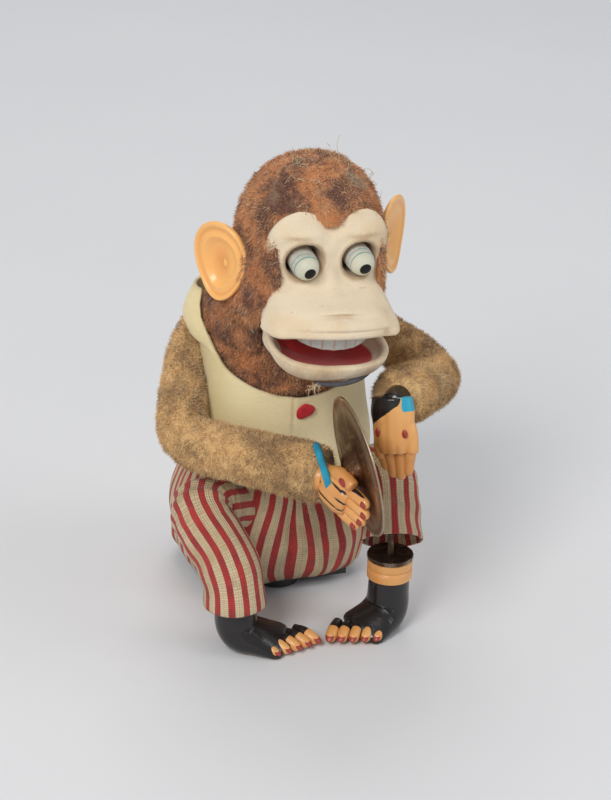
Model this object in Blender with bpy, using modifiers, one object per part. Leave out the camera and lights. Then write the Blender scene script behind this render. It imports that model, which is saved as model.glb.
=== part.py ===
"""Battery-driven toy monkey with a cymbal, as separate pieces.

Metres, +Z up. The monkey faces -Y, its right side is -X and it sits on the floor at Z = 0.
X = 0 is its middle plane and the origin lies under its hips. Soft coverings are lofted from
oval sections, wires are curves, turned pieces are profiles, and cut-outs are Booleans.
"""
import math

import bmesh
import bpy
import numpy as np
from mathutils import Matrix, Vector

# Clearances
GAP = 0.0003                    # between pieces that touch
RUNNING = 0.00009               # round a turning shaft
SLIDE_PLAY = 0.0004             # round a sliding piece
SWING_ROOM = 0.0012             # between an arm and the clothes it swings past
HEAD_ROOM = 0.0062              # between the head and the neck ruff, for the press and the nod

# Battery case
FOOT_HEIGHT = 0.0048
FRONT_FOOT_RADIUS = 0.0125
FRONT_FOOT_Y = -0.0185
REAR_FOOT_LENGTH = 0.016
REAR_FOOT_WIDTH = 0.0042
CELL_RADIUS = 0.0165
CELL_LENGTH = 0.0610
CELL_SPACE = 0.0008
CASE_WALL = 0.0022
CASE_FLOOR = 0.0040
CASE_Y = 0.0025
CONTACT_ROOM = 0.0030
CONTACT_THICKNESS = 0.0005
DOOR_THICKNESS = 0.0014
DOOR_LIP = 0.0020
PLATE_THICKNESS = 0.0016
PLATE_MARGIN = 0.0015

# Mechanism
FRAME_GAUGE = 0.0012
FRAME_HALF_WIDTH = 0.0200
FRAME_HEIGHT = 0.0760
FRAME_FRONT = -0.0395
FRAME_BACK = 0.0140
FRAME_FOOT_FRONT = -0.0270
FRAME_NOTCH = 0.0330
GEAR_Y = -0.0080
TOOTH_MODULE = 0.0014
PINION_TEETH = 8
GEAR_TEETH = 20
GEAR_THICKNESS = 0.0030
MESH_PLAY = 0.0002
MOTOR_RADIUS = 0.0120
MOTOR_LENGTH = 0.0280
MOTOR_SHAFT_RADIUS = 0.0010
IDLER_SHAFT_RADIUS = 0.00125
CAMSHAFT_RADIUS = 0.0020
CRANK_RADIUS = 0.0080
CRANK_THROW = 0.0050
CRANK_PIN_RADIUS = 0.0015
CRANK_PIN_LENGTH = 0.0022
VOICE_RADIUS = 0.0090
VOICE_LENGTH = 0.0150

# Body shell and clothes, as heights above the chassis plate
SHELL_WALL = 0.0016
CLOTH = 0.0013
FELT = 0.0016
BODY_LEAN = -0.0110             # how far the chest sits in front of the hips
CHEST_HALF_WIDTH = 0.0440
CHEST_HALF_DEPTH = 0.0390
WAIST_HEIGHT = 0.0400
NECKLINE_RADII = (0.044, 0.042, 0.056)
NECKLINE_SHIFT = 0.0020
NECKLINE_RISE = 0.0207          # middle of the neckline's round above the shoulders
BUTTON_RISE = 0.0750
BUTTON_RADIUS = 0.0045
BUTTON_THICKNESS = 0.0014

# Head and neck
NECK_Y = -0.0320
NECK_POST_RADIUS = 0.0030
NECK_PIVOT_RISE = 0.0260        # nod pivot above the shoulders
HEAD_BELOW_PIVOT = 0.0105       # how far the plush reaches below the nod pivot
PRESS_TRAVEL = 0.0025
SPRING_RADIUS = 0.0058
SPRING_WIRE = 0.0009
SPRING_TURNS = 4
SPRING_HEIGHT = 0.0140
NOD_PIN_RADIUS = 0.0015
RUFF_SHIFT = -0.0130            # how far the neck ruff sits in front of the chest's middle
RUFF_BORE_RADIUS = 0.0128
SHELL_BELOW_NECK = 0.0040       # how far below the shoulders the bore of the ruff starts
HEAD_Y = -0.0480
HEAD_HALF_WIDTH = 0.0388
PLUSH = 0.0037
SKULL_WALL = 0.0018
MASK_WALL = 0.0018
EYE_SPACING = 0.0290
EYE_RADIUS = 0.0078
EYE_HOLE_RADIUS = 0.0095
EYE_TILT_DEG = 10.0
EYE_TRAVEL = 0.0080
EAR_HALF_HEIGHT = 0.0205
EAR_HALF_WIDTH = 0.0155
EAR_THICKNESS = 0.0046
EAR_TURN_DEG = 33.0
JAW_PIN_RADIUS = 0.0012
JAW_WALL = 0.0020
LINING_WALL = 0.0016
LINING_DROP = 0.0035            # how far the red lining lies below the jaw's edge
JAW_RADII = (0.0355, 0.0270, 0.0315)
JAW_MIDDLE = (-0.0310, 0.0152)  # Y and height of the jaw's round form
JAW_NECK_HALF = 0.0310          # half width of the jaw where it passes between the cheeks
JAW_PIN_Y = -0.0145
JAW_PIN_RISE = 0.0130
JAW_RIM = 0.0020                # how far the jaw's edge lies above its pin
JAW_BEHIND_PIN = 0.0022
JAW_BACK_LEAN_DEG = 24.0
CHEEK_FRONT = -0.0306           # where the plush cheeks end, behind the mask
CHEEK_ROOM = 0.0316             # half width that the cheeks leave for the jaw
MOUTH_BACK = -0.0095
MOUTH_SLOPE_DEG = 23.0
MOUTH_TOP = 0.0370
TEETH_HALF_WIDTH = 0.0180
TEETH_BOW = 0.0150              # how far the row of teeth bends forward
TEETH_THICKNESS = 0.0025
TEETH_Y = -0.0410
TEETH_LOW = 0.0084
TONGUE_RISE = 0.0160            # palate plate above the nod pivot
FRAME_PLATE = 0.0014
PALATE_HALF = 0.0150
PALATE_REACH = 0.0540
EYE_RISE = 0.0520
EYE_FRONT = -0.0385
EYE_STEP = 0.0075               # where the eye's barrel steps down to its round front
EYE_LENGTH = 0.0125
RIGHT_EAR = (0.0458, 0.0417)    # how far out and how high each ear sits
LEFT_EAR = (0.0500, 0.0470)
EAR_SHIFT = -0.0020
EAR_STEM_SHIFT = -0.0030
EAR_STEM_RADIUS = 0.0030
EAR_STEM_INSET = 0.0035
EAR_DISH = (0.60, 0.72, 0.75)   # the hollow's size as shares of the ear's

# Arms
SHOULDER_HALF_SPAN = 0.0500
SHOULDER_Y = -0.0040
SHOULDER_RISE = 0.1040          # above the chassis plate
SHOULDER_PIN_RADIUS = 0.0020
HUB_RADIUS = 0.0048
HUB_HEIGHT = 0.0060
PIN_END = 0.0010                # how far a shoulder pin shows below its hub
LEVER_GAUGE = 0.0016
LEVER_WIDTH = 0.0050
LEVER_SLOT_HALF = 0.0095
ARM_ROD_RADIUS = 0.0016
SLEEVE_RADIUS = 0.0172
SHOULDER_ROOM = 0.0135          # radius kept clear round the shoulder pin
LEVER_ROOM = 0.0108             # radius of the hole in the clothes round a lever
BRACKET_HALF = 0.0036
BRACKET_TRIM = 0.0045           # how far the bracket reaches in before the shell trims it
SLOT_HALF_HEIGHT = 0.0026       # of the slots in the shell for the arm levers
SLEEVE_WALL = 0.0042
ARM_OPEN_DEG = 14.0
ARM_SHUT_DEG = 3.0
CUFF_WIDTH = 0.0036
WRIST_RADIUS = 0.0078
WRIST_PLUG = 0.0030             # how far a hand's stub reaches inside its sleeve
PALM_HALF_WIDTH = 0.0102
PALM_HALF_DEPTH = 0.0058
FINGER_RADIUS = 0.0029
SLEEVE_SIDES = 14
CYMBAL_RADIUS = 0.0370
CYMBAL_GAUGE = 0.0008
CYMBAL_DOME = 0.0058
CYMBAL_FLARE = 0.0016
RIVET_RADIUS = 0.0022

# Legs
LEG_ROD_RADIUS = 0.00175
TROUSER_RADIUS = 0.0162
ANKLE_DISC_RADIUS = 0.0125
ANKLE_DISC_THICKNESS = 0.0023
COLLAR_RADIUS = 0.0122
COLLAR_HEIGHT = 0.0110
FOOT_TOP = 0.0300
ANKLE_RADIUS = 0.0118
FOOT_RADIUS = 0.0125
FOOT_TURN = (0.0285, 0.0130)    # from the ball of the foot to its heel
BALL_OF_FOOT = (-0.0215, -0.0100, 0.0065)
HEEL_HEIGHT = 0.0075
TOE_RADIUS = 0.0042

# Levels worked out from the sizes above
CELL_X = CELL_RADIUS + CELL_SPACE / 2
CASE_HALF_WIDTH = 2 * CELL_RADIUS + 1.5 * CELL_SPACE + CASE_WALL
CASE_HALF_DEPTH = CELL_LENGTH / 2 + CONTACT_ROOM + CASE_WALL
CASE_HEIGHT = CASE_FLOOR + 2 * CELL_RADIUS + 2 * CELL_SPACE
CASE_TOP = FOOT_HEIGHT + CASE_HEIGHT
DECK = CASE_TOP + GAP + PLATE_THICKNESS
SHOULDER_Z = DECK + SHOULDER_RISE
PIVOT_Z = SHOULDER_Z + NECK_PIVOT_RISE
HEAD_BASE = PIVOT_Z - HEAD_BELOW_PIVOT
MOTOR_Z = DECK + GAP + MOTOR_RADIUS
GEAR_SPAN = TOOTH_MODULE * (PINION_TEETH + GEAR_TEETH) / 2 + MESH_PLAY
IDLER_Z = MOTOR_Z + GEAR_SPAN
CAM_Z = IDLER_Z + GEAR_SPAN
BRACKET_Z = DECK + GAP + FRAME_HEIGHT + GAP

# Ovals of the lofted forms: height, half width, middle Y, half depth
BODY_SHELL_OVALS = [
    (0.0003, 0.0360, 0.0000, 0.0345), (0.0180, 0.0365, 0.0000, 0.0345),
    (0.0320, CHEST_HALF_WIDTH, BODY_LEAN + 0.003, CHEST_HALF_DEPTH),
    (0.0520, CHEST_HALF_WIDTH, BODY_LEAN, CHEST_HALF_DEPTH),
    (0.0720, 0.0385, BODY_LEAN - 0.001, 0.0375),
    (SHOULDER_RISE - 0.0160, 0.0350, BODY_LEAN - 0.001, 0.0340),
    (SHOULDER_RISE - 0.0010, 0.0345, BODY_LEAN - 0.002, 0.0320),
    (SHOULDER_RISE + 0.0045, 0.0250, BODY_LEAN - 0.012, 0.0220),
    (SHOULDER_RISE + 0.0085, 0.0120, NECK_Y, 0.0120),
]
VEST_OVALS = [
    (0.0300, 0.0530, BODY_LEAN + 0.002, 0.0470), (0.0400, 0.0520, BODY_LEAN, 0.0470),
    (0.0550, 0.0510, BODY_LEAN - 0.001, 0.0465), (0.0700, 0.0480, BODY_LEAN - 0.002, 0.0460),
    (SHOULDER_RISE - 0.0190, 0.0430, BODY_LEAN - 0.003, 0.0430),
    (SHOULDER_RISE - 0.0040, 0.0405, BODY_LEAN - 0.003, 0.0395),
    (SHOULDER_RISE + 0.0100, 0.0385, BODY_LEAN + 0.005, 0.0280),
    (SHOULDER_RISE + 0.0200, 0.0370, BODY_LEAN + 0.014, 0.0180),
]
# The trouser seat: height, then how far it stands off the case at the sides, front and back
SEAT_OVALS = [
    (-0.0355, 0.0115, 0.0090, 0.0075), (-0.0290, 0.0140, 0.0105, 0.0080),
    (-0.0160, 0.0160, 0.0140, 0.0095), (0.0050, 0.0168, 0.0152, 0.0095),
    (0.0240, 0.0125, 0.0145, -0.0015),
]
RUFF_OVALS = [
    (SHOULDER_RISE - 0.0220, 0.0290, 0.0290), (SHOULDER_RISE - 0.0180, 0.0335, 0.0345),
    (SHOULDER_RISE - 0.0080, 0.0345, 0.0345), (SHOULDER_RISE + 0.0020, 0.0340, 0.0300),
    (SHOULDER_RISE + 0.0260, 0.0330, 0.0280),
]
HEAD_OVALS = [
    (0.0000, 0.0320, -0.0020, 0.0330), (0.0080, 0.0360, -0.0050, 0.0370),
    (0.0200, 0.0385, -0.0070, 0.0390), (0.0340, HEAD_HALF_WIDTH, -0.0080, 0.0390),
    (0.0520, 0.0380, -0.0090, 0.0375), (0.0690, 0.0360, -0.0095, 0.0360),
    (0.0820, 0.0305, -0.0100, 0.0305), (0.0915, 0.0210, -0.0105, 0.0210),
    (0.0968, 0.0085, -0.0110, 0.0085),
]
# Sections of the mask: height above the head's base, half width, front Y, edge Y
FACE_SECTIONS = [
    (0.0750, 0.0190, -0.0420, -0.0370), (0.0680, 0.0290, -0.0430, -0.0350),
    (0.0570, 0.0315, -0.0400, -0.0330), (0.0460, 0.0305, -0.0400, -0.0320),
    (0.0395, 0.0275, -0.0450, -0.0310), (0.0340, 0.0290, -0.0560, -0.0310),
    (0.0285, 0.0335, -0.0660, -0.0310), (0.0230, 0.0365, -0.0690, -0.0310),
    (0.0185, 0.0368, -0.0680, -0.0310),
]
BROW_DIP = (-0.0380, 0.0795)    # Y and height of the dip between the brows
BROW_DIP_RADII = (0.0080, 0.0200, 0.0085)

# Paths, each point as a step from the one before: X outward, Y, Z
SLEEVE_TOP = (-0.0010, 0.0035, 0.0085)
SLEEVE_SCALES = [0.34, 0.50, 0.58, 0.84, 0.90, 0.92, 0.90, 0.86, 0.98, 0.88]
RIGHT_ARM_STEPS = [(0.0130, -0.0390, -0.0450), (-0.0505, -0.0610, 0.0035)]
LEFT_ARM_STEPS = [(0.0280, -0.0480, -0.0222), (-0.0410, -0.0460, 0.0129)]
RIGHT_HAND_REACH = (0.0165, -0.0360, -0.0120)
RIGHT_HAND_SIDE = (0.0, -0.05, 1.0)
LEFT_HAND_REACH = (-0.0010, -0.0120, -0.0410)
LEFT_HAND_SIDE = (0.75, -0.55, 0.0)
CYMBAL_FROM_WRIST = (0.0205, -0.0150, 0.0065)
CYMBAL_FACE = (-0.981, 0.028, -0.186)
RIGHT_KNEE = (0.0595, -0.0575, 0.0700)
LEFT_KNEE = (0.0490, -0.0600, 0.0800)
RIGHT_HEM = [(0.0463, -0.0853, 0.0470), (0.0458, -0.0862, 0.0265)]
LEFT_HEM = [(0.0425, -0.0848, 0.0500)]
TROUSER_SCALES = [1.02, 1.05, 1.04, 1.0, 1.0, 0.98]
RIGHT_ANKLE = (0.0455, -0.0860)
LEFT_ANKLE = (0.0410, -0.0870)
INNER_TOE = (0.0032, -0.0995)
OUTER_TOE = (0.0275, -0.1060)
HIP_JOINT = (0.0300, -0.0300, 0.0560)

parts = bpy.data.collections.new("toy_monkey")
cutters = bpy.data.collections.new("cutters")


def clear_scene():
    """Remove what a new file holds and add the two collections."""
    for thing in list(bpy.data.objects):
        bpy.data.objects.remove(thing, do_unlink=True)
    bpy.context.scene.collection.children.link(parts)
    bpy.context.scene.collection.children.link(cutters)


def finish(name, rgb, roughness, metallic=0.0):
    """One named surface finish, made once and shared."""
    known = bpy.data.materials.get(name)
    if known:
        return known
    material = bpy.data.materials.new(name)
    material.use_nodes = True
    shader = material.node_tree.nodes["Principled BSDF"]
    shader.inputs["Base Color"].default_value = (*rgb, 1.0)
    shader.inputs["Roughness"].default_value = roughness
    shader.inputs["Metallic"].default_value = metallic
    material.diffuse_color = (*rgb, 1.0)
    return material


def black_plastic():
    return finish("black_plastic", (0.02, 0.02, 0.022), 0.45)


def grey_plastic():
    return finish("grey_plastic", (0.32, 0.33, 0.34), 0.5)


def steel():
    return finish("steel", (0.55, 0.54, 0.52), 0.35, 1.0)


def brass():
    return finish("brass", (0.72, 0.55, 0.28), 0.35, 1.0)


def nylon():
    return finish("nylon", (0.85, 0.84, 0.78), 0.45)


def head_fur():
    return finish("head_fur", (0.20, 0.105, 0.06), 0.95)


def arm_fur():
    return finish("arm_fur", (0.36, 0.25, 0.13), 0.95)


def flock():
    return finish("flocked_mask", (0.72, 0.62, 0.46), 0.9)


def felt():
    return finish("vest_felt", (0.78, 0.70, 0.48), 0.95)


def ticking():
    return finish("striped_ticking", (0.66, 0.40, 0.32), 0.9)


def vinyl():
    return finish("vinyl", (0.85, 0.47, 0.20), 0.4)


def black_vinyl():
    return finish("black_vinyl", (0.015, 0.013, 0.013), 0.3)


def red_paint():
    return finish("red_paint", (0.60, 0.03, 0.04), 0.5)


def adopt(thing, material, group=None):
    """Give a new object its finish and put it in its collection."""
    for old in list(thing.users_collection):
        old.objects.unlink(thing)
    (group or parts).objects.link(thing)
    thing.data.materials.clear()
    thing.data.materials.append(material)
    return thing


def as_cutter(thing):
    """Move an object among the cutters."""
    for old in list(thing.users_collection):
        old.objects.unlink(thing)
    cutters.objects.link(thing)
    thing.hide_render = True
    thing.display_type = "WIRE"
    return thing


def from_bmesh(name, bm, material, smooth_deg=40.0):
    """Turn a bmesh into an object with its faces outward."""
    bmesh.ops.recalc_face_normals(bm, faces=bm.faces)
    mesh = bpy.data.meshes.new(name)
    bm.to_mesh(mesh)
    bm.free()
    mesh.shade_smooth()
    mesh.set_sharp_from_angle(angle=math.radians(smooth_deg))
    return adopt(bpy.data.objects.new(name, mesh), material)


def box(name, low, high, material, bevel=0.0):
    """A block between two corners."""
    bm = bmesh.new()
    bmesh.ops.create_cube(bm, size=1.0)
    low, high = Vector(low), Vector(high)
    bmesh.ops.scale(bm, vec=high - low, verts=bm.verts)
    bmesh.ops.translate(bm, vec=(low + high) / 2, verts=bm.verts)
    thing = from_bmesh(name, bm, material)
    if bevel:
        round_over = thing.modifiers.new("edges", "BEVEL")
        round_over.width = bevel
        round_over.segments = 2
    return thing


def turn_to(axis):
    """The rotation that takes +Z to an axis."""
    return Vector((0, 0, 1)).rotation_difference(Vector(axis)).to_matrix().to_4x4()


def rod(name, start, end, radius, material, sides=16):
    """A straight round bar from one point to another."""
    start, end = Vector(start), Vector(end)
    bm = bmesh.new()
    bmesh.ops.create_cone(bm, cap_ends=True, segments=sides, radius1=radius, radius2=radius,
                          depth=(end - start).length)
    bmesh.ops.transform(bm, matrix=Matrix.Translation((start + end) / 2) @ turn_to(end - start),
                        verts=bm.verts)
    return from_bmesh(name, bm, material)


def ball(name, centre, radii, material, sides=20, rings=12):
    """An ellipsoid."""
    bm = bmesh.new()
    bmesh.ops.create_uvsphere(bm, u_segments=sides, v_segments=rings, radius=1.0)
    bmesh.ops.scale(bm, vec=radii, verts=bm.verts)
    bmesh.ops.translate(bm, vec=centre, verts=bm.verts)
    return from_bmesh(name, bm, material)


def turned(name, profile, place, axis, material, steps=16):
    """A turned piece: a profile of (radius, height) from its top, spun about an axis."""
    mesh = bpy.data.meshes.new(name)
    closed = profile[0] == profile[-1]
    profile = profile[:-1] if closed else profile
    edges = [(i, i + 1) for i in range(len(profile) - 1)]
    if closed:
        edges.append((len(profile) - 1, 0))
    mesh.from_pydata([(r, 0.0, h) for r, h in profile], edges, [])
    thing = adopt(bpy.data.objects.new(name, mesh), material)
    thing.matrix_world = Matrix.Translation(place) @ turn_to(axis)
    spin = thing.modifiers.new("spin", "SCREW")
    spin.steps = steps
    spin.render_steps = steps
    spin.use_merge_vertices = True
    spin.merge_threshold = 0.00005
    return thing


def wire(name, points, radius, material, resolution=1, scales=None):
    """A round wire or tube along points, made a mesh with welded caps."""
    curve = bpy.data.curves.new(name, "CURVE")
    curve.dimensions = "3D"
    curve.bevel_depth = radius
    curve.bevel_resolution = resolution
    curve.use_fill_caps = True
    spline = curve.splines.new("POLY")
    spline.points.add(len(points) - 1)
    for i, place in enumerate(points):
        spline.points[i].co = (*place, 1.0)
        spline.points[i].radius = scales[i] if scales is not None else 1.0
    guide = bpy.data.objects.new(name + "_curve", curve)
    cutters.objects.link(guide)
    bpy.context.view_layer.update()
    view = guide.evaluated_get(bpy.context.evaluated_depsgraph_get())
    mesh = bpy.data.meshes.new_from_object(view)
    bm = bmesh.new()
    bm.from_mesh(mesh)
    bmesh.ops.remove_doubles(bm, verts=bm.verts, dist=0.00001)
    bpy.data.objects.remove(guide)
    return from_bmesh(name, bm, material, 60.0)


def spread(values, samples):
    """A list of sizes read evenly along its length."""
    return np.interp(np.linspace(0, len(values) - 1, samples), range(len(values)), values)


def oval(half_width, middle_y, half_depth, z, sides=24, square=2.3):
    """One level section: |x / width|^square + |y / depth|^square = 1."""
    a = np.linspace(0.0, 2 * np.pi, sides, endpoint=False)
    x = half_width * np.sign(np.cos(a)) * np.abs(np.cos(a)) ** (2 / square)
    y = middle_y + half_depth * np.sign(np.sin(a)) * np.abs(np.sin(a)) ** (2 / square)
    return np.stack([x, y, np.full(sides, z)], 1)


def path_rings(points, radii, sides=20, folds=0.0, fold_count=5):
    """Rings square to a path, each (sides, 3), with soft lengthwise folds if asked."""
    points = np.asarray(points, float)
    along = np.gradient(points, axis=0)
    along /= np.linalg.norm(along, axis=1)[:, None]
    side = np.cross(along[0], (0.0, 0.0, 1.0))
    if np.linalg.norm(side) < 0.2:
        side = np.cross(along[0], (0.0, 1.0, 0.0))
    a = np.linspace(0.0, 2 * np.pi, sides, endpoint=False)[:, None]
    rings = []
    for i, (place, ahead) in enumerate(zip(points, along)):
        side = side - ahead * (side @ ahead)
        side /= np.linalg.norm(side)
        up = np.cross(side, ahead)
        swell = 1.0 + folds * np.sin(fold_count * a + 0.35 * i)
        rings.append(place + radii[i] * swell * (np.cos(a) * side + np.sin(a) * up))
    return np.array(rings)


def skin(name, rings, material, inner=None):
    """Skin rings (n, m, 3) into a solid with flat ends, or with inner rings into a tube."""
    n, m = rings.shape[:2]
    bm = bmesh.new()
    outside = [[bm.verts.new(p) for p in ring] for ring in rings]
    inside = [[bm.verts.new(p) for p in ring] for ring in inner] if inner is not None else None
    for grid in (outside, inside):
        if grid:
            for i in range(n - 1):
                for j in range(m):
                    k = (j + 1) % m
                    bm.faces.new((grid[i][j], grid[i][k], grid[i + 1][k], grid[i + 1][j]))
    for end in (0, n - 1):
        if inside is None:
            bm.faces.new(outside[end])
        else:
            for j in range(m):
                k = (j + 1) % m
                bm.faces.new((outside[end][j], outside[end][k], inside[end][k], inside[end][j]))
    return from_bmesh(name, bm, material, 50.0)


def shifted(ovals, base, grow=0.0, middle=0.0, sides=24, square=2.3):
    """Rings of a table of ovals above a base level, grown sideways."""
    return np.array([oval(w + grow, middle + y, d + grow, base + h, sides, square)
                     for h, w, y, d in ovals])


def boolean(thing, other, operation):
    change = thing.modifiers.new(operation.lower(), "BOOLEAN")
    change.operation = operation
    change.solver = "EXACT"
    change.object = other
    as_cutter(other)
    return thing


def cut(thing, *others):
    """Cut other shapes out of a piece."""
    for other in others:
        boolean(thing, other, "DIFFERENCE")
    return thing


def fuse(thing, *others):
    """Join other shapes to a piece as one solid."""
    for other in others:
        boolean(thing, other, "UNION")
    return thing


def pivot(name, place, *things):
    """An empty on a joint's axis that carries the pieces which move about it."""
    empty = bpy.data.objects.new(name, None)
    empty.location = place
    empty.empty_display_size = 0.01
    parts.objects.link(empty)
    bpy.context.view_layer.update()
    for thing in things:
        thing.parent = empty
        thing.matrix_parent_inverse = empty.matrix_world.inverted()
    return empty


def oval_at(table, height):
    """Half width, middle Y and half depth of a table of ovals at one height."""
    heights = [row[0] for row in table]
    return [float(np.interp(height, heights, [row[k] for row in table])) for k in (1, 2, 3)]


def filleted(points, radius, steps=3):
    """A path of straight runs joined by arcs."""
    points = [Vector(p) for p in points]
    path = [points[0]]
    for before, corner, after in zip(points, points[1:], points[2:]):
        back, ahead = (before - corner).normalized(), (after - corner).normalized()
        half = back.angle(ahead) / 2
        reach = min(radius / math.tan(half), 0.48 * (before - corner).length,
                    0.48 * (after - corner).length)
        start, end = corner + back * reach, corner + ahead * reach
        bend = reach * math.tan(half)
        centre = corner + (back + ahead).normalized() * (bend / math.sin(half))
        for i in range(steps + 1):
            spoke = (start - centre).normalized().slerp((end - centre).normalized(), i / steps)
            path.append(centre + bend * spoke)
    path.append(points[-1])
    return np.array([list(p) for p in path])


def base():
    """Battery case with its rear pads, front foot, door, cells, contacts, switch and deck."""
    front, back = CASE_Y - CASE_HALF_DEPTH, CASE_Y + CASE_HALF_DEPTH
    inner_x = CASE_HALF_WIDTH - CASE_WALL
    cells_z = FOOT_HEIGHT + CASE_FLOOR + CELL_SPACE + CELL_RADIUS
    case = box("battery_case", (-CASE_HALF_WIDTH, front, FOOT_HEIGHT),
               (CASE_HALF_WIDTH, back, CASE_TOP), black_plastic())
    cut(case, box("case_room", (-inner_x, front + CASE_WALL, FOOT_HEIGHT + CASE_FLOOR),
                  (inner_x, back - CASE_WALL, CASE_TOP + 0.01), black_plastic()))
    door_half = inner_x + CASE_WALL / 2 - SLIDE_PLAY
    door_front = FRONT_FOOT_Y + FRONT_FOOT_RADIUS + DOOR_LIP
    slot_low = FOOT_HEIGHT + CASE_FLOOR / 5
    slot_high = slot_low + DOOR_THICKNESS + 2 * SLIDE_PLAY
    cut(case, box("door_slot", (-door_half - SLIDE_PLAY, door_front - SLIDE_PLAY, slot_low),
                  (door_half + SLIDE_PLAY, back + 0.01, slot_high), black_plastic()))
    cut(case, box("door_mouth", (-door_half + DOOR_LIP, door_front + DOOR_LIP, FOOT_HEIGHT - 0.01),
                  (door_half - DOOR_LIP, back + 0.01, slot_low + 0.0001), black_plastic()))
    cut(case, box("cell_mouth", (-door_half + DOOR_LIP, door_front + DOOR_LIP, slot_high - 0.0001),
                  (door_half - DOOR_LIP, back - CASE_WALL, FOOT_HEIGHT + CASE_FLOOR + 0.0001),
                  black_plastic()))
    for side in (-1, 1):
        pad = box(f"rear_pad{side}", (min(side * (CASE_HALF_WIDTH - REAR_FOOT_WIDTH),
                                          side * CASE_HALF_WIDTH), back - REAR_FOOT_LENGTH, 0.0),
                  (max(side * (CASE_HALF_WIDTH - REAR_FOOT_WIDTH), side * CASE_HALF_WIDTH),
                   back, slot_low), black_plastic())
        fuse(case, pad)
    foot_end = FOOT_HEIGHT - GAP
    rod("front_foot", (0, FRONT_FOOT_Y, 0), (0, FRONT_FOOT_Y, foot_end), FRONT_FOOT_RADIUS,
        black_plastic(), 32)
    door_low = slot_low + SLIDE_PLAY
    door = box("battery_door", (-door_half, door_front, door_low),
               (door_half, back, door_low + DOOR_THICKNESS), black_plastic())
    pivot("door_slide", (0, back, door_low), door)

    nub, nub_height, edge = 0.0048, 0.0015, 0.0010
    body = CELL_LENGTH - nub_height
    profile = [(0, CELL_LENGTH), (nub, CELL_LENGTH), (nub, body), (CELL_RADIUS - edge, body),
               (CELL_RADIUS, body - edge), (CELL_RADIUS, edge), (CELL_RADIUS - edge, 0), (0, 0)]
    for name, side in (("right_cell", -1), ("left_cell", 1)):
        turned(name, profile, (side * CELL_X, CASE_Y - side * CELL_LENGTH / 2, cells_z),
               (0, side, 0), steel(), 16)

    plate_back = back - CASE_WALL - GAP
    stud = CONTACT_ROOM - CONTACT_THICKNESS - 2 * GAP
    contact_half, contact_rise, stud_radius = 0.0065, 0.0060, 0.0030
    bridge = box("contact_bridge",
                 (-CELL_X - contact_half, plate_back - CONTACT_THICKNESS, cells_z - contact_rise),
                 (CELL_X + contact_half, plate_back, cells_z + contact_rise), brass())
    for side in (-1, 1):
        fuse(bridge, rod(f"bridge_stud{side}",
                         (side * CELL_X, plate_back - CONTACT_THICKNESS / 2, cells_z),
                         (side * CELL_X, plate_back - CONTACT_THICKNESS - stud, cells_z),
                         stud_radius, brass(), 12))
    plate_front = front + CASE_WALL + GAP
    for name, side in (("right_contact", -1), ("left_contact", 1)):
        contact = box(name, (side * CELL_X - contact_half, plate_front, cells_z - contact_rise),
                      (side * CELL_X + contact_half, plate_front + CONTACT_THICKNESS,
                       cells_z + contact_rise), brass())
        fuse(contact, rod(name + "_stud",
                          (side * CELL_X, plate_front + CONTACT_THICKNESS / 2, cells_z),
                          (side * CELL_X, plate_front + CONTACT_THICKNESS + stud, cells_z),
                          stud_radius, brass(), 12))

    knob_half, knob_height, knob_out, travel = 0.0030, 0.0036, 0.0024, 0.0060
    knob_x, knob_z = -travel / 2, FOOT_HEIGHT + CASE_FLOOR + 0.0060
    cut(case, box("switch_slot", (knob_x - knob_half - SLIDE_PLAY, back - 2 * CASE_WALL,
                                  knob_z - knob_height / 2 - SLIDE_PLAY),
                  (knob_x + travel + knob_half + SLIDE_PLAY, back + 0.01,
                   knob_z + knob_height / 2 + SLIDE_PLAY), black_plastic()))
    knob = box("switch_slider", (knob_x - knob_half, back - CASE_WALL - 2 * GAP,
                                 knob_z - knob_height / 2),
               (knob_x + knob_half, back + knob_out, knob_z + knob_height / 2), steel())
    keeper = 2.2
    fuse(knob, box("switch_keeper", (knob_x - keeper * knob_half, back - CASE_WALL - GAP - 0.0012,
                                     knob_z - knob_height),
                   (knob_x + keeper * knob_half, back - CASE_WALL - GAP, knob_z + knob_height),
                   steel()))
    pivot("switch_slide", (knob_x, back, knob_z), knob)
    box("chassis_plate", (-CASE_HALF_WIDTH - PLATE_MARGIN, front - PLATE_MARGIN, CASE_TOP + GAP),
        (CASE_HALF_WIDTH + PLATE_MARGIN, back + PLATE_MARGIN, DECK), steel())


def gear(name, teeth, place, thickness, bore, material, turn=0.0):
    """A spur gear about X: straight-flanked teeth, pitch radius = module * teeth / 2."""
    pitch = TOOTH_MODULE * teeth / 2
    tip, root = pitch + 0.8 * TOOTH_MODULE, pitch - 1.1 * TOOTH_MODULE
    step = 2 * math.pi / teeth
    outline = []
    for i in range(teeth):
        for radius, offset in ((root, -0.26), (tip, -0.11), (tip, 0.11), (root, 0.26)):
            angle = turn + step * (i + offset)
            outline.append((radius * math.cos(angle), radius * math.sin(angle)))
    rings = [[(place[0] + x, place[1] + y, place[2] + z) for y, z in outline]
             for x in (-thickness / 2, thickness / 2)]
    wheel = skin(name, np.array(rings), material)
    if bore:
        reach = Vector((thickness, 0, 0))
        cut(wheel, rod(name + "_bore", Vector(place) - reach, Vector(place) + reach, bore, material))
    return wheel


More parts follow.
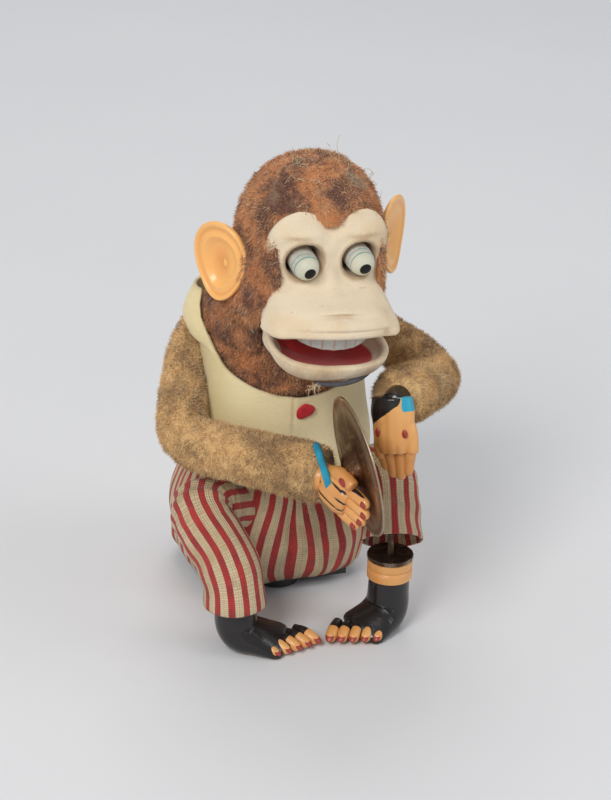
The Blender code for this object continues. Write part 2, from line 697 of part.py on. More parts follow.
def mechanism():
    """Frame plates, motor, gear train, crankshaft, voice box and the bracket for the neck."""
    outer = FRAME_HALF_WIDTH + FRAME_GAUGE / 2
    inner = FRAME_HALF_WIDTH - FRAME_GAUGE / 2
    low, high = DECK + GAP, DECK + GAP + FRAME_HEIGHT
    idler_radius, cam_radius = IDLER_SHAFT_RADIUS, CAMSHAFT_RADIUS
    for name, side in (("right_frame_plate", -1), ("left_frame_plate", 1)):
        plate = box(name, (min(side * inner, side * outer), FRAME_FRONT, low),
                    (max(side * inner, side * outer), FRAME_BACK, high), steel())
        cut(plate, box(f"{name}_notch", (side * FRAME_HALF_WIDTH - 0.002, FRAME_FRONT - 0.01, low - 0.01),
                       (side * FRAME_HALF_WIDTH + 0.002, FRAME_FOOT_FRONT, low + FRAME_NOTCH), steel()))
        for z, radius in ((IDLER_Z, idler_radius), (CAM_Z, cam_radius)):
            cut(plate, rod(f"{name}_hole", (side * (inner - 0.002), GEAR_Y, z),
                           (side * (outer + 0.002), GEAR_Y, z), radius + RUNNING, steel()))

    motor_end = MOTOR_LENGTH / 2 - 0.0030
    pinion_x = motor_end + 0.0035
    gear_x = pinion_x
    cam_x = gear_x - GEAR_THICKNESS - 0.0018
    shaft_hole = MOTOR_SHAFT_RADIUS + RUNNING
    profile = [(0.0, 0.004), (shaft_hole, 0.004), (shaft_hole, MOTOR_LENGTH),
               (0.6 * MOTOR_RADIUS, MOTOR_LENGTH), (MOTOR_RADIUS, MOTOR_LENGTH - 0.002),
               (MOTOR_RADIUS, 0.002), (0.6 * MOTOR_RADIUS, 0.0), (0.0, 0.0)]
    turned("motor", profile, (motor_end - MOTOR_LENGTH, GEAR_Y, MOTOR_Z), (1, 0, 0), steel())
    pinion = gear("motor_pinion", PINION_TEETH, (pinion_x, GEAR_Y, MOTOR_Z), GEAR_THICKNESS, 0.0,
                  brass(), math.pi / 2)
    fuse(pinion, rod("motor_shaft", (motor_end - 0.010, GEAR_Y, MOTOR_Z),
                     (pinion_x + GEAR_THICKNESS, GEAR_Y, MOTOR_Z), MOTOR_SHAFT_RADIUS, brass(), 12))
    pivot("motor_axis", (0, GEAR_Y, MOTOR_Z), pinion)

    half_tooth = math.pi / GEAR_TEETH
    idler = gear("idler_gear", GEAR_TEETH, (gear_x, GEAR_Y, IDLER_Z), GEAR_THICKNESS, 0.0,
                 nylon(), -math.pi / 2 + half_tooth)
    fuse(idler, gear("idler_pinion", PINION_TEETH, ((gear_x + cam_x) / 2, GEAR_Y, IDLER_Z),
                     gear_x - cam_x + GEAR_THICKNESS * 0.8, 0.0, nylon(), math.pi / 2))
    fuse(idler, rod("idler_axle", (-outer - 0.001, GEAR_Y, IDLER_Z),
                    (outer + 0.001, GEAR_Y, IDLER_Z), IDLER_SHAFT_RADIUS, nylon()))
    pivot("idler_axis", (0, GEAR_Y, IDLER_Z), idler)

    cam_gear = gear("cam_gear", GEAR_TEETH, (cam_x, GEAR_Y, CAM_Z), GEAR_THICKNESS,
                    CAMSHAFT_RADIUS + RUNNING, nylon(), -math.pi / 2 + half_tooth)
    shaft_end = outer + 0.0045
    crankshaft = rod("crankshaft", (-shaft_end, GEAR_Y, CAM_Z), (shaft_end, GEAR_Y, CAM_Z),
                     CAMSHAFT_RADIUS, steel())
    for side in (-1, 1):
        disc_in, disc_out = outer + 0.0012, outer + 0.0032
        fuse(crankshaft, rod(f"crank_disc{side}", (side * disc_in, GEAR_Y, CAM_Z),
                             (side * disc_out, GEAR_Y, CAM_Z), CRANK_RADIUS, steel()))
        fuse(crankshaft, rod(f"crank_pin{side}",
                             (side * (disc_in + 0.0005), GEAR_Y, CAM_Z + side * CRANK_THROW),
                             (side * (disc_out + CRANK_PIN_LENGTH), GEAR_Y,
                              CAM_Z + side * CRANK_THROW), CRANK_PIN_RADIUS, steel(), 12))
    pivot("cam_axis", (0, GEAR_Y, CAM_Z), cam_gear, crankshaft)

    voice_y = FRAME_BACK + VOICE_RADIUS - 0.001
    voice = [(0, VOICE_LENGTH), (0.8 * VOICE_RADIUS, VOICE_LENGTH), (VOICE_RADIUS, 0.8 * VOICE_LENGTH),
             (0.85 * VOICE_RADIUS, 0.6 * VOICE_LENGTH), (VOICE_RADIUS, 0.4 * VOICE_LENGTH),
             (0.85 * VOICE_RADIUS, 0.2 * VOICE_LENGTH), (VOICE_RADIUS, 0.0), (0, 0)]
    turned("voice_box", voice, (0, voice_y, DECK + GAP), (0, 0, 1), grey_plastic(), 18)

    bracket = box("head_bracket", (-outer, NECK_Y - 0.0085, BRACKET_Z),
                  (outer, NECK_Y + 0.0085, BRACKET_Z + 2 * FRAME_GAUGE), steel())
    cut(bracket, rod("neck_hole", (0, NECK_Y, BRACKET_Z - 0.01), (0, NECK_Y, BRACKET_Z + 0.01),
                     NECK_POST_RADIUS + SLIDE_PLAY, steel()))


def body_shell():
    """The stiff shell round the mechanism, with a slot each side for the arm levers."""
    outer = shifted(BODY_SHELL_OVALS, DECK, sides=18)
    inner = shifted(BODY_SHELL_OVALS, DECK, -SHELL_WALL, sides=18)
    shell = skin("body_shell", outer, grey_plastic(), inner)
    for side in (-1, 1):
        edge = side * SHOULDER_HALF_SPAN
        low, high = sorted((edge * 0.4, edge))
        slot_low, slot_high = SHOULDER_Z - SLOT_HALF_HEIGHT, SHOULDER_Z + SLOT_HALF_HEIGHT
        cut(shell, box(f"lever_slot{side}", (low, SHOULDER_Y - LEVER_SLOT_HALF, slot_low),
                       (high, SHOULDER_Y + LEVER_SLOT_HALF, slot_high), grey_plastic()))
    return shell


def arm_points(side, steps):
    """The corners of an arm: its shoulder pin, elbow and wrist."""
    points = [Vector((side * SHOULDER_HALF_SPAN, SHOULDER_Y, SHOULDER_Z))]
    for step in steps:
        points.append(points[-1] + Vector((side * step[0], step[1], step[2])))
    return points


def arm_rings(side, steps, grow=0.0, sides=SLEEVE_SIDES):
    """Rings of a sleeve's outer surface from its rounded top to the wrist."""
    shoulder, elbow, wrist = arm_points(side, steps)
    top = shoulder + Vector((side * SLEEVE_TOP[0], SLEEVE_TOP[1], SLEEVE_TOP[2]))
    bend = filleted([top, elbow, wrist], SLEEVE_RADIUS * 1.15, 4)
    first, last = bend[0], bend[-1]
    bend = bend[1:-1]
    path = np.array([first + share * (bend[0] - first) for share in (0.0, 0.12, 0.35)] + list(bend)
                    + [bend[-1] + share * (last - bend[-1]) for share in (0.5, 1.0)])
    return path_rings(path, SLEEVE_RADIUS * np.array(SLEEVE_SCALES) + grow, sides)


def hull(name, points, material):
    """The convex solid round a set of points."""
    bm = bmesh.new()
    for place in points:
        bm.verts.new(place)
    made = bmesh.ops.convex_hull(bm, input=bm.verts)
    spare = [item for item in made["geom_interior"] if isinstance(item, bmesh.types.BMVert)]
    bmesh.ops.delete(bm, geom=spare, context="VERTS")
    return from_bmesh(name, bm, material)


def shoulder_room(side):
    """The ball kept clear round a shoulder pin."""
    return ball(f"shoulder_room{side}", (side * SHOULDER_HALF_SPAN, SHOULDER_Y, SHOULDER_Z),
                (SHOULDER_ROOM,) * 3, arm_fur(), 14, 8)


def lever_room(side):
    """The round hole kept clear in the clothes for an arm's lever and its bracket."""
    middle = SHOULDER_Z + LEVER_GAUGE
    return rod(f"lever_room{side}", (side * 1.1 * FRAME_HALF_WIDTH, SHOULDER_Y, middle),
               (side * SHOULDER_HALF_SPAN, SHOULDER_Y, middle), LEVER_ROOM, arm_fur(), 14)


def swing_cutters(side, steps, angles):
    """The room that an arm sweeps: its shoulder, upper arm and forearm at each end of its swing."""
    shoulder = arm_points(side, steps)[0]
    rings = arm_rings(side, steps, SWING_ROOM, 10)
    middle = len(rings) // 2
    shapes = [shoulder_room(side)]
    for i, run in enumerate((rings[1:middle + 1], rings[middle:])):
        swept = []
        for angle in angles:
            turn = Matrix.Rotation(math.radians(angle), 3, "Z")
            swept += [shoulder + turn @ (Vector(p) - shoulder) for p in run.reshape(-1, 3)]
        shapes.append(hull(f"arm_room{side}_{i}", swept, arm_fur()))
    return shapes


def frame_of(origin, reach, side):
    """A matrix with +Z along reach and +X towards side."""
    z = Vector(reach).normalized()
    x = (Vector(side) - z * z.dot(Vector(side))).normalized()
    y = z.cross(x)
    matrix = Matrix((x, y, z)).transposed().to_4x4()
    matrix.translation = origin
    return matrix


def placed(thing, matrix):
    """Put a piece made at the origin in its place, with the move kept in its mesh."""
    thing.data.transform(matrix)
    thing.data.update()
    return thing


def hand(name, wrist, run, reach, side, curl, stretch):
    """A vinyl hand: a stub that plugs in the sleeve, palm, four fingers and a thumb."""
    length = Vector(reach).length
    root = wrist + run * stretch
    matrix = frame_of(root, reach, side)
    palm = placed(ball(name, (0, 0, 0.34 * length), (PALM_HALF_WIDTH, PALM_HALF_DEPTH, 0.34 * length),
                       vinyl(), 14, 8), matrix)
    fuse(palm, rod(name + "_stub", wrist - run * WRIST_PLUG, root + run * 0.001, WRIST_RADIUS, vinyl(),
                   14))
    fuse(palm, placed(rod(name + "_heel", (0, 0, 0), (0, 0, 0.30 * length), WRIST_RADIUS * 0.98,
                          vinyl(), 14), matrix))
    for i, (across, cut_back) in enumerate(((0.0078, 0.05), (0.0027, 0.0), (-0.0026, 0.03),
                                            (-0.0076, 0.12))):
        tip = length * (1.0 - cut_back) - FINGER_RADIUS
        points = [(across * 0.9, 0, 0.38 * length), (across, curl * 0.3, 0.62 * length),
                  (across * 1.08, curl * 0.9, 0.86 * tip), (across * 1.1, curl * 1.1, tip)]
        finger = wire(f"{name}_finger{i}", points, FINGER_RADIUS, vinyl(), 1, [1.0, 1.04, 1.0, 0.72])
        fuse(palm, placed(finger, matrix))
    thumb = wire(name + "_thumb", [(0.0062, 0.0, 0.14 * length), (0.0118, curl * 0.2, 0.36 * length),
                                   (0.0128, curl * 0.4, 0.58 * length)],
                 FINGER_RADIUS * 1.17, vinyl(), 1, [1.0, 1.0, 0.7])
    fuse(palm, placed(thumb, matrix))
    return palm


def arm(label, side, steps, reach, hand_side, curl, stretch):
    """One arm on its shoulder pin: lever, rod, two lengths of sleeve, cuff and hand."""
    shoulder, elbow, wrist = arm_points(side, steps)
    run = (wrist - elbow).normalized()

    plate_low = SHOULDER_Z + HUB_HEIGHT / 2 + GAP
    plate_high = plate_low + LEVER_GAUGE
    shell_half = oval_at(BODY_SHELL_OVALS, plate_low - DECK)[0]
    low, high = sorted((side * (shell_half - BRACKET_TRIM), shoulder.x))
    bracket = box(f"{label}_shoulder_bracket", (low, SHOULDER_Y - BRACKET_HALF, plate_low),
                  (high, SHOULDER_Y + BRACKET_HALF, plate_high), steel())
    cut(bracket, skin(f"{label}_shell_room", shifted(BODY_SHELL_OVALS, DECK, GAP, sides=18), steel()))
    fuse(bracket, rod(f"{label}_bracket_end", (shoulder.x, SHOULDER_Y, plate_low),
                      (shoulder.x, SHOULDER_Y, plate_high), BRACKET_HALF, steel()))
    fuse(bracket, rod(f"{label}_shoulder_pin", (shoulder.x, SHOULDER_Y, plate_high),
                      (shoulder.x, SHOULDER_Y, SHOULDER_Z - HUB_HEIGHT / 2 - PIN_END),
                      SHOULDER_PIN_RADIUS, steel()))

    hub = rod(f"{label}_arm_lever", (shoulder.x, SHOULDER_Y, SHOULDER_Z - HUB_HEIGHT / 2),
              (shoulder.x, SHOULDER_Y, SHOULDER_Z + HUB_HEIGHT / 2), HUB_RADIUS, steel())
    crank_x = side * (FRAME_HALF_WIDTH + FRAME_GAUGE / 2 + 0.0032 + CRANK_PIN_LENGTH + SWING_ROOM)
    strip_x = crank_x + side * LEVER_GAUGE
    low, high = sorted((crank_x + side * LEVER_GAUGE / 2, shoulder.x - side * SHOULDER_PIN_RADIUS))
    fuse(hub, box(f"{label}_lever_strip", (low, SHOULDER_Y - LEVER_WIDTH / 2,
                                           SHOULDER_Z - LEVER_GAUGE / 2),
                  (high, SHOULDER_Y + LEVER_WIDTH / 2, SHOULDER_Z + LEVER_GAUGE / 2), steel()))
    low, high = sorted((crank_x, strip_x))
    drop_half = 0.46 * LEVER_WIDTH
    fuse(hub, box(f"{label}_lever_drop", (low, SHOULDER_Y - drop_half, CAM_Z),
                  (high, SHOULDER_Y + drop_half, SHOULDER_Z + 0.6 * LEVER_GAUGE), steel()))
    start = shoulder + (elbow - shoulder).normalized() * (HUB_RADIUS - 0.0021)
    path = filleted([start, elbow, wrist - run * (WRIST_PLUG + GAP)], 0.0095)
    fuse(hub, wire(f"{label}_arm_wire", path, ARM_ROD_RADIUS, steel()))
    cut(hub, rod(f"{label}_hub_bore", (shoulder.x, SHOULDER_Y, SHOULDER_Z - 0.01),
                 (shoulder.x, SHOULDER_Y, SHOULDER_Z + 0.01), SHOULDER_PIN_RADIUS + RUNNING, steel()))

    outer = arm_rings(side, steps)
    inner = arm_rings(side, steps, -SLEEVE_WALL)
    split = len(outer) // 2
    step = (outer[split + 1] - outer[split]).mean(0)
    nudge = step / np.linalg.norm(step) * GAP
    upper = skin(f"{label}_upper_sleeve", outer[:split + 1], arm_fur(), inner[:split + 1])
    low, high = sorted((side * FRAME_HALF_WIDTH, shoulder.x))
    cut(upper, box(f"{label}_sleeve_window",
                   (low, SHOULDER_Y - LEVER_SLOT_HALF, SHOULDER_Z - LEVER_GAUGE / 2 - GAP),
                   (high, SHOULDER_Y + LEVER_SLOT_HALF, SHOULDER_Z + 0.03), arm_fur()))
    pin_low = SHOULDER_Z - HUB_HEIGHT / 2 - PIN_END - GAP
    cut(upper, rod(f"{label}_hub_room", (shoulder.x, SHOULDER_Y, pin_low),
                   (shoulder.x, SHOULDER_Y, SHOULDER_Z + 0.03), HUB_RADIUS + SWING_ROOM, arm_fur()))
    cut(upper, rod(f"{label}_wire_room", shoulder, shoulder.lerp(elbow, 0.45),
                   ARM_ROD_RADIUS + SWING_ROOM, arm_fur(), 12))
    lower_outer = np.concatenate([[outer[split] + nudge], outer[split + 1:]])
    lower_inner = np.concatenate([[inner[split] + nudge], inner[split + 1:]])
    lower = skin(f"{label}_lower_sleeve", lower_outer, arm_fur(), lower_inner)

    palm = hand(f"{label}_hand", wrist, run, reach, hand_side, curl, stretch)
    sleeve_end = (SLEEVE_RADIUS * SLEEVE_SCALES[-1] - SLEEVE_WALL) * math.cos(math.pi / SLEEVE_SIDES)
    cuff_in, cuff_out = WRIST_RADIUS + GAP, sleeve_end - GAP
    profile = [(cuff_in, CUFF_WIDTH), (cuff_out, CUFF_WIDTH), (cuff_out, 0.0), (cuff_in, 0.0),
               (cuff_in, CUFF_WIDTH)]
    cuff = turned(f"{label}_cuff", profile, (0, 0, 0), (0, 0, 1),
                  finish("blue_felt", (0.02, 0.42, 0.62), 0.8), 20)
    cuff.matrix_world = frame_of(wrist - run * WRIST_PLUG, run, (0, 0, 1))
    pieces = [hub, upper, lower, palm, cuff]
    return pieces, shoulder, wrist


def cymbal(wrist, palm):
    """A thin domed disc on the right palm, held by a rivet."""
    centre = wrist + Vector(CYMBAL_FROM_WRIST)
    head = 1.9 * RIVET_RADIUS
    flat, dome_radius = head + GAP, 0.36 * CYMBAL_RADIUS
    radii = [RIVET_RADIUS + RUNNING, flat, (flat + dome_radius) / 2, dome_radius, 0.62 * CYMBAL_RADIUS,
             CYMBAL_RADIUS]

    def lift(r):
        share = min(max((r - flat) / (dome_radius - flat), 0.0), 1.0)
        return CYMBAL_FLARE * (1 - r / CYMBAL_RADIUS) + CYMBAL_DOME * (1 + math.cos(math.pi * share)) / 2

    top = [(r, lift(r)) for r in radii]
    under = [(r, lift(r) - CYMBAL_GAUGE) for r in reversed(radii)]
    disc = turned("cymbal", top + under + top[:1], (0, 0, 0), (0, 0, 1), brass(), 24)
    disc.matrix_world = Matrix.Translation(centre) @ turn_to(CYMBAL_FACE)
    face = Vector(CYMBAL_FACE).normalized()
    crown = centre + face * lift(RIVET_RADIUS)
    tail = 0.0016
    profile = [(0, tail), (RIVET_RADIUS, tail), (RIVET_RADIUS, -CYMBAL_GAUGE - GAP),
               (head, -CYMBAL_GAUGE - GAP), (0.7 * head, -CYMBAL_GAUGE - 0.0014),
               (0, -CYMBAL_GAUGE - 0.0016)]
    rivet = turned("cymbal_rivet", profile, (0, 0, 0), (0, 0, 1), steel(), 16)
    rivet.matrix_world = Matrix.Translation(crown) @ turn_to(CYMBAL_FACE)
    cut(palm, rod("rivet_room", crown - face * 0.002, crown + face * (tail + GAP), RIVET_RADIUS + GAP,
                  vinyl()))
    return [disc, rivet]


def clothes():
    """Vest, its button, the trouser seat and the two trouser legs."""
    vest = skin("vest", shifted(VEST_OVALS, DECK), felt(),
                shifted(VEST_OVALS, DECK, -FELT))
    cut(vest, ball("neckline", (0, NECK_Y + NECKLINE_SHIFT, SHOULDER_Z + NECKLINE_RISE), NECKLINE_RADII,
                   felt(), 18, 10))
    for side, steps in ((-1, RIGHT_ARM_STEPS), (1, LEFT_ARM_STEPS)):
        cut(vest, *swing_cutters(side, steps, (ARM_OPEN_DEG * side, 0.0, -ARM_SHUT_DEG * side)))
        cut(vest, lever_room(side))
    cut(vest, skin("ruff_room", ruff_rings(GAP), felt()))
    low, high = (middle - depth for half, middle, depth in
                 (oval_at(VEST_OVALS, BUTTON_RISE + step) for step in (-BUTTON_RADIUS, BUTTON_RADIUS)))
    outward = Vector((0, -2 * BUTTON_RADIUS, high - low)).normalized()
    seat_at = Vector((0, (low + high) / 2, DECK + BUTTON_RISE)) + outward * GAP
    rod("vest_button", seat_at, seat_at + outward * BUTTON_THICKNESS, BUTTON_RADIUS, red_paint(), 20)

    waist_half, waist_y, waist_depth = oval_at(BODY_SHELL_OVALS, WAIST_HEIGHT)
    ovals = [(h, CASE_HALF_WIDTH + w, CASE_Y + (rear - ahead) / 2, CASE_HALF_DEPTH + (ahead + rear) / 2)
             for h, w, ahead, rear in SEAT_OVALS]
    waist = ovals[-1:] + [(WAIST_HEIGHT, waist_half + GAP + CLOTH, waist_y, waist_depth + GAP + CLOTH)]
    outer, inner = (np.concatenate([shifted(ovals[:-1], DECK, grow, sides=18, square=4.0),
                                    shifted(waist, DECK, grow, sides=18)]) for grow in (0.0, -CLOTH))
    seat = skin("trouser_seat", outer, ticking(), inner)
    back = CASE_Y + CASE_HALF_DEPTH
    cut(seat, box("switch_window", (-0.014, back - 0.01, 0.0), (0.014, back + 0.03, 0.0215), ticking()))
    shell_form = skin("shell_room", shifted(BODY_SHELL_OVALS, DECK, GAP, sides=18), ticking())
    margin = PLATE_MARGIN + GAP
    for name, side, hem, knee in (("right_trouser_leg", -1, RIGHT_HEM, RIGHT_KNEE),
                                  ("left_trouser_leg", 1, LEFT_HEM, LEFT_KNEE)):
        path = leg_path(side, knee, hem)
        radii = TROUSER_RADIUS * spread(TROUSER_SCALES, len(path))
        leg = skin(name, path_rings(path, radii, 16, 0.03), ticking(),
                   path_rings(path, radii - CLOTH, 16, 0.03))
        cut(leg, shell_form)
        cut(leg, box(f"{name}_case_room",
                     (-CASE_HALF_WIDTH - margin, CASE_Y - CASE_HALF_DEPTH - margin, 0.0),
                     (CASE_HALF_WIDTH + margin, CASE_Y + CASE_HALF_DEPTH, DECK + GAP), ticking()))
        leg_room = skin(f"{name}_room", path_rings(path, radii + GAP, 16, 0.03), ticking())
        cut(seat, leg_room)
        cut(vest, leg_room)


def ruff_rings(grow=0.0):
    """Rings of the furry neck, from inside the vest to just under the head."""
    middle = BODY_LEAN + RUFF_SHIFT
    top = HEAD_BASE - HEAD_ROOM - DECK
    table = [(h, w, middle, d) for h, w, d in RUFF_OVALS]
    rows = [row for row in table if row[0] < top - 0.003]
    rows.append((top, *oval_at(table, top)))
    return shifted(rows, DECK, grow)


def leg_path(side, knee, hem):
    """The middle line of a leg: hip, knee, shin and hem."""
    points = [HIP_JOINT, knee] + hem
    return filleted([(side * x, y, z) for x, y, z in points], TROUSER_RADIUS * 1.15)


def leg(label, side, knee, ankle):
    """Leg rod, ankle disc, collar and vinyl foot."""
    ankle_x, ankle_y = side * ankle[0], ankle[1]
    hip_x, hip_y = side * (CASE_HALF_WIDTH - 0.0045), CASE_Y - CASE_HALF_DEPTH + 0.0030
    collar_low = FOOT_TOP + GAP
    disc_low = collar_low + COLLAR_HEIGHT + GAP
    bore = LEG_ROD_RADIUS + GAP
    rod_points = [(hip_x, hip_y, DECK + GAP), (hip_x, hip_y, DECK + 0.010),
                  (side * knee[0], knee[1], knee[2]),
                  (ankle_x, ankle_y, disc_low + 0.012), (ankle_x, ankle_y, FOOT_TOP + GAP / 2)]
    leg_rod = wire(f"{label}_leg_rod", filleted(rod_points, 0.010), LEG_ROD_RADIUS, steel())
    fuse(leg_rod, rod(f"{label}_ankle_disc", (ankle_x, ankle_y, disc_low),
                      (ankle_x, ankle_y, disc_low + ANKLE_DISC_THICKNESS), ANKLE_DISC_RADIUS, steel()))
    groove, groove_at = 0.0008, 0.55 * COLLAR_HEIGHT
    profile = [(bore, COLLAR_HEIGHT), (COLLAR_RADIUS, COLLAR_HEIGHT),
               (COLLAR_RADIUS, groove_at + groove), (COLLAR_RADIUS - groove, groove_at),
               (COLLAR_RADIUS, groove_at - groove), (COLLAR_RADIUS, 0.0), (bore, 0.0),
               (bore, COLLAR_HEIGHT)]
    turned(f"{label}_collar", profile, (ankle_x, ankle_y, collar_low), (0, 0, 1), vinyl())

    ball_of_foot = Vector((ankle_x + side * BALL_OF_FOOT[0], ankle_y + BALL_OF_FOOT[1], BALL_OF_FOOT[2]))
    heel = Vector((ball_of_foot.x + side * FOOT_TURN[0], ball_of_foot.y + FOOT_TURN[1], HEEL_HEIGHT))
    foot = wire(f"{label}_foot", [heel + (heel - ball_of_foot) * 0.18, heel,
                                  heel.lerp(ball_of_foot, 0.35), heel.lerp(ball_of_foot, 0.7),
                                  ball_of_foot, ball_of_foot + (ball_of_foot - heel) * 0.12],
                FOOT_RADIUS, black_vinyl(), 2, [0.45, 0.92, 1.02, 0.98, 0.86, 0.50])
    fuse(foot, rod(f"{label}_ankle", (ankle_x, ankle_y, 0.5 * FOOT_RADIUS), (ankle_x, ankle_y, FOOT_TOP),
                   ANKLE_RADIUS, black_vinyl(), 20))
    inner_tip = Vector((side * INNER_TOE[0], INNER_TOE[1], TOE_RADIUS * 0.9))
    outer_tip = Vector((side * OUTER_TOE[0], OUTER_TOE[1], TOE_RADIUS * 0.9))
    for i in range(5):
        share = i / 4
        tip = inner_tip.lerp(outer_tip, share)
        root = tip.lerp(ball_of_foot, 0.72)
        root.z = TOE_RADIUS * 1.3
        size = 1.25 - 0.40 * share
        toe = wire(f"{label}_toe{i}", [root, root.lerp(tip, 0.6), root.lerp(tip, 0.92), tip],
                   TOE_RADIUS, vinyl(), 1, [size, size, size * 0.86, size * 0.5])
        fuse(foot, toe)
    cut(foot, box(f"{label}_floor", (ankle_x - 0.06, ankle_y - 0.06, -0.03),
                  (ankle_x + 0.06, ankle_y + 0.06, 0.0), black_vinyl()))
    return foot


def face_rings():
    """Bent sections of the mask from brow to lip; each runs edge, front, edge and back inside."""
    t = np.linspace(-np.pi / 2, np.pi / 2, 15)
    rings = []
    for h, half_width, front, edge in FACE_SECTIONS:
        outer_x, outer_y = half_width * np.sin(t), edge - (edge - front) * np.cos(t) ** 0.62
        inner_x = (half_width - MASK_WALL) * np.sin(t[::-1])
        inner_y = edge - (edge - front - MASK_WALL) * np.cos(t[::-1]) ** 0.62
        x = np.concatenate([outer_x, inner_x])
        y = np.concatenate([outer_y, inner_y]) + HEAD_Y
        rings.append(np.stack([x, y, np.full(len(x), HEAD_BASE + h)], 1))
    return np.array(rings)


def eye_axis():
    """The direction in which the eyes stand out: forward and a little down."""
    tilt = math.radians(EYE_TILT_DEG)
    return Vector((0, -math.cos(tilt), -math.sin(tilt)))


def head():
    """Everything above the neck, and the post, spring and ruff that it stands in."""
    bracket_top = BRACKET_Z + 2 * FRAME_GAUGE
    spring_low, collar_low = bracket_top + GAP, bracket_top + SPRING_HEIGHT + 2 * GAP
    barrel = 0.0042
    post = turned("neck_post", [(0, PIVOT_Z), (NECK_POST_RADIUS, PIVOT_Z),
                                (NECK_POST_RADIUS, collar_low + 0.002),
                                (SPRING_RADIUS + SPRING_WIRE, collar_low + 0.002),
                                (SPRING_RADIUS + SPRING_WIRE, collar_low),
                                (NECK_POST_RADIUS, collar_low),
                                (NECK_POST_RADIUS, BRACKET_Z - 0.008), (0, BRACKET_Z - 0.008)],
                  (0, NECK_Y, 0), (0, 0, 1), steel(), 14)
    fuse(post, rod("neck_barrel", (-0.0062, NECK_Y, PIVOT_Z), (0.0062, NECK_Y, PIVOT_Z), barrel,
                   steel(), 14))
    cut(post, rod("neck_bore", (-0.02, NECK_Y, PIVOT_Z), (0.02, NECK_Y, PIVOT_Z),
                  NOD_PIN_RADIUS + RUNNING, steel(), 14))
    turns = np.linspace(0.0, 1.0, SPRING_TURNS * 8 + 1)
    angle = 2 * np.pi * SPRING_TURNS * turns
    rise = spring_low + SPRING_WIRE / 2 + turns * (SPRING_HEIGHT - SPRING_WIRE)
    coil = np.stack([SPRING_RADIUS * np.cos(angle), NECK_Y + SPRING_RADIUS * np.sin(angle), rise], 1)
    wire("head_spring", coil, SPRING_WIRE / 2, steel())

    ruff = skin("neck_ruff", ruff_rings(), head_fur())
    cut(ruff, skin("ruff_bore", shifted(BODY_SHELL_OVALS, DECK, GAP, sides=18), head_fur()))
    cut(ruff, rod("post_bore", (0, NECK_Y, SHOULDER_Z - SHELL_BELOW_NECK), (0, NECK_Y, HEAD_BASE),
                  RUFF_BORE_RADIUS, head_fur()))
    cut(ruff, shoulder_room(-1), shoulder_room(1), lever_room(-1), lever_room(1))

    plush = skin("head_plush", shifted(HEAD_OVALS, HEAD_BASE, 0.0, HEAD_Y, 20), head_fur())
    skull_grow = -PLUSH - GAP
    hollow = [(-0.01, *HEAD_OVALS[0][1:])] + HEAD_OVALS[1:]
    cut(plush, skin("plush_room", shrunk(hollow, -PLUSH), head_fur()))
    skull = skin("skull", shrunk(HEAD_OVALS, skull_grow), grey_plastic())
    cut(skull, skin("skull_room", shrunk(hollow, skull_grow - SKULL_WALL), grey_plastic()))
    mouth_top = HEAD_BASE + MOUTH_TOP
    far, below, mouth_y = 0.10, 0.02, HEAD_Y + MOUTH_BACK
    cut(skull, box("mouth_room", (-far, HEAD_Y - far, HEAD_BASE - below), (far, mouth_y, mouth_top),
                   head_fur()))
    cut(plush, box("lip_room", (-far, HEAD_Y - far, HEAD_BASE - below),
                   (far, HEAD_Y + CHEEK_FRONT, mouth_top), head_fur()))
    cut(plush, box("jaw_room", (-CHEEK_ROOM, HEAD_Y - far, HEAD_BASE - below),
                   (CHEEK_ROOM, mouth_y, mouth_top), head_fur()))
    window = mask_window(2 * GAP)
    for shell in (plush, skull):
        cut(shell, window)

    mask = skin("face_mask", face_rings(), flock())
    axis = eye_axis()
    eye_z = HEAD_BASE + EYE_RISE
    for side in (-1, 1):
        socket = Vector((side * EYE_SPACING / 2, HEAD_Y + EYE_FRONT, eye_z))
        cut(mask, rod(f"eye_hole{side}", socket - axis * 0.02, socket + axis * 0.02,
                      EYE_HOLE_RADIUS, flock(), 18))
    cut(mask, ball("brow_dip", (0, HEAD_Y + BROW_DIP[0], HEAD_BASE + BROW_DIP[1]), BROW_DIP_RADII,
                   flock(), 16, 10))

    eyes = []
    for name, side in (("right_eye", -1), ("left_eye", 1)):
        socket = Vector((side * EYE_SPACING / 2, HEAD_Y + EYE_FRONT, eye_z))
        front_radius = EYE_RADIUS - 0.0012
        profile = [(0, EYE_LENGTH), (0.48 * front_radius, EYE_LENGTH - 0.0004),
                   (0.79 * front_radius, EYE_LENGTH - 0.0018), (0.97 * front_radius, EYE_LENGTH - 0.0040),
                   (front_radius, EYE_STEP), (EYE_RADIUS, EYE_STEP),
                   (EYE_RADIUS, -EYE_STEP), (0, -EYE_STEP)]
        eyes.append(turned(name, profile, socket, axis, nylon()))
    carriage_at = Vector((0, HEAD_Y + EYE_FRONT, eye_z)) - axis * (EYE_STEP + GAP)
    reach = EYE_SPACING / 2 + 0.005
    carriage = box("eye_carriage", (-reach, -0.003, -0.0045), (reach, 0.003, 0.0), steel())
    placed(carriage, Matrix.Translation(carriage_at) @ turn_to(axis))
    tongue_z = PIVOT_Z + TONGUE_RISE
    slider = carriage_at - axis * 0.0022
    fuse(carriage, rod("carriage_stem", slider, slider - axis * (EYE_TRAVEL + 0.008), 0.0028, steel()))

    frame = head_frame(tongue_z)
    guide = slider - axis * (EYE_TRAVEL + 0.0048)
    fuse(frame, box("eye_guide", (-0.0062, guide.y - 0.0012, tongue_z),
                    (0.0062, guide.y + 0.0012, guide.z + 0.0055), steel()))
    cut(frame, rod("eye_guide_bore", guide + axis * 0.01, guide - axis * 0.01, 0.0028 + SLIDE_PLAY,
                   steel(), 16))

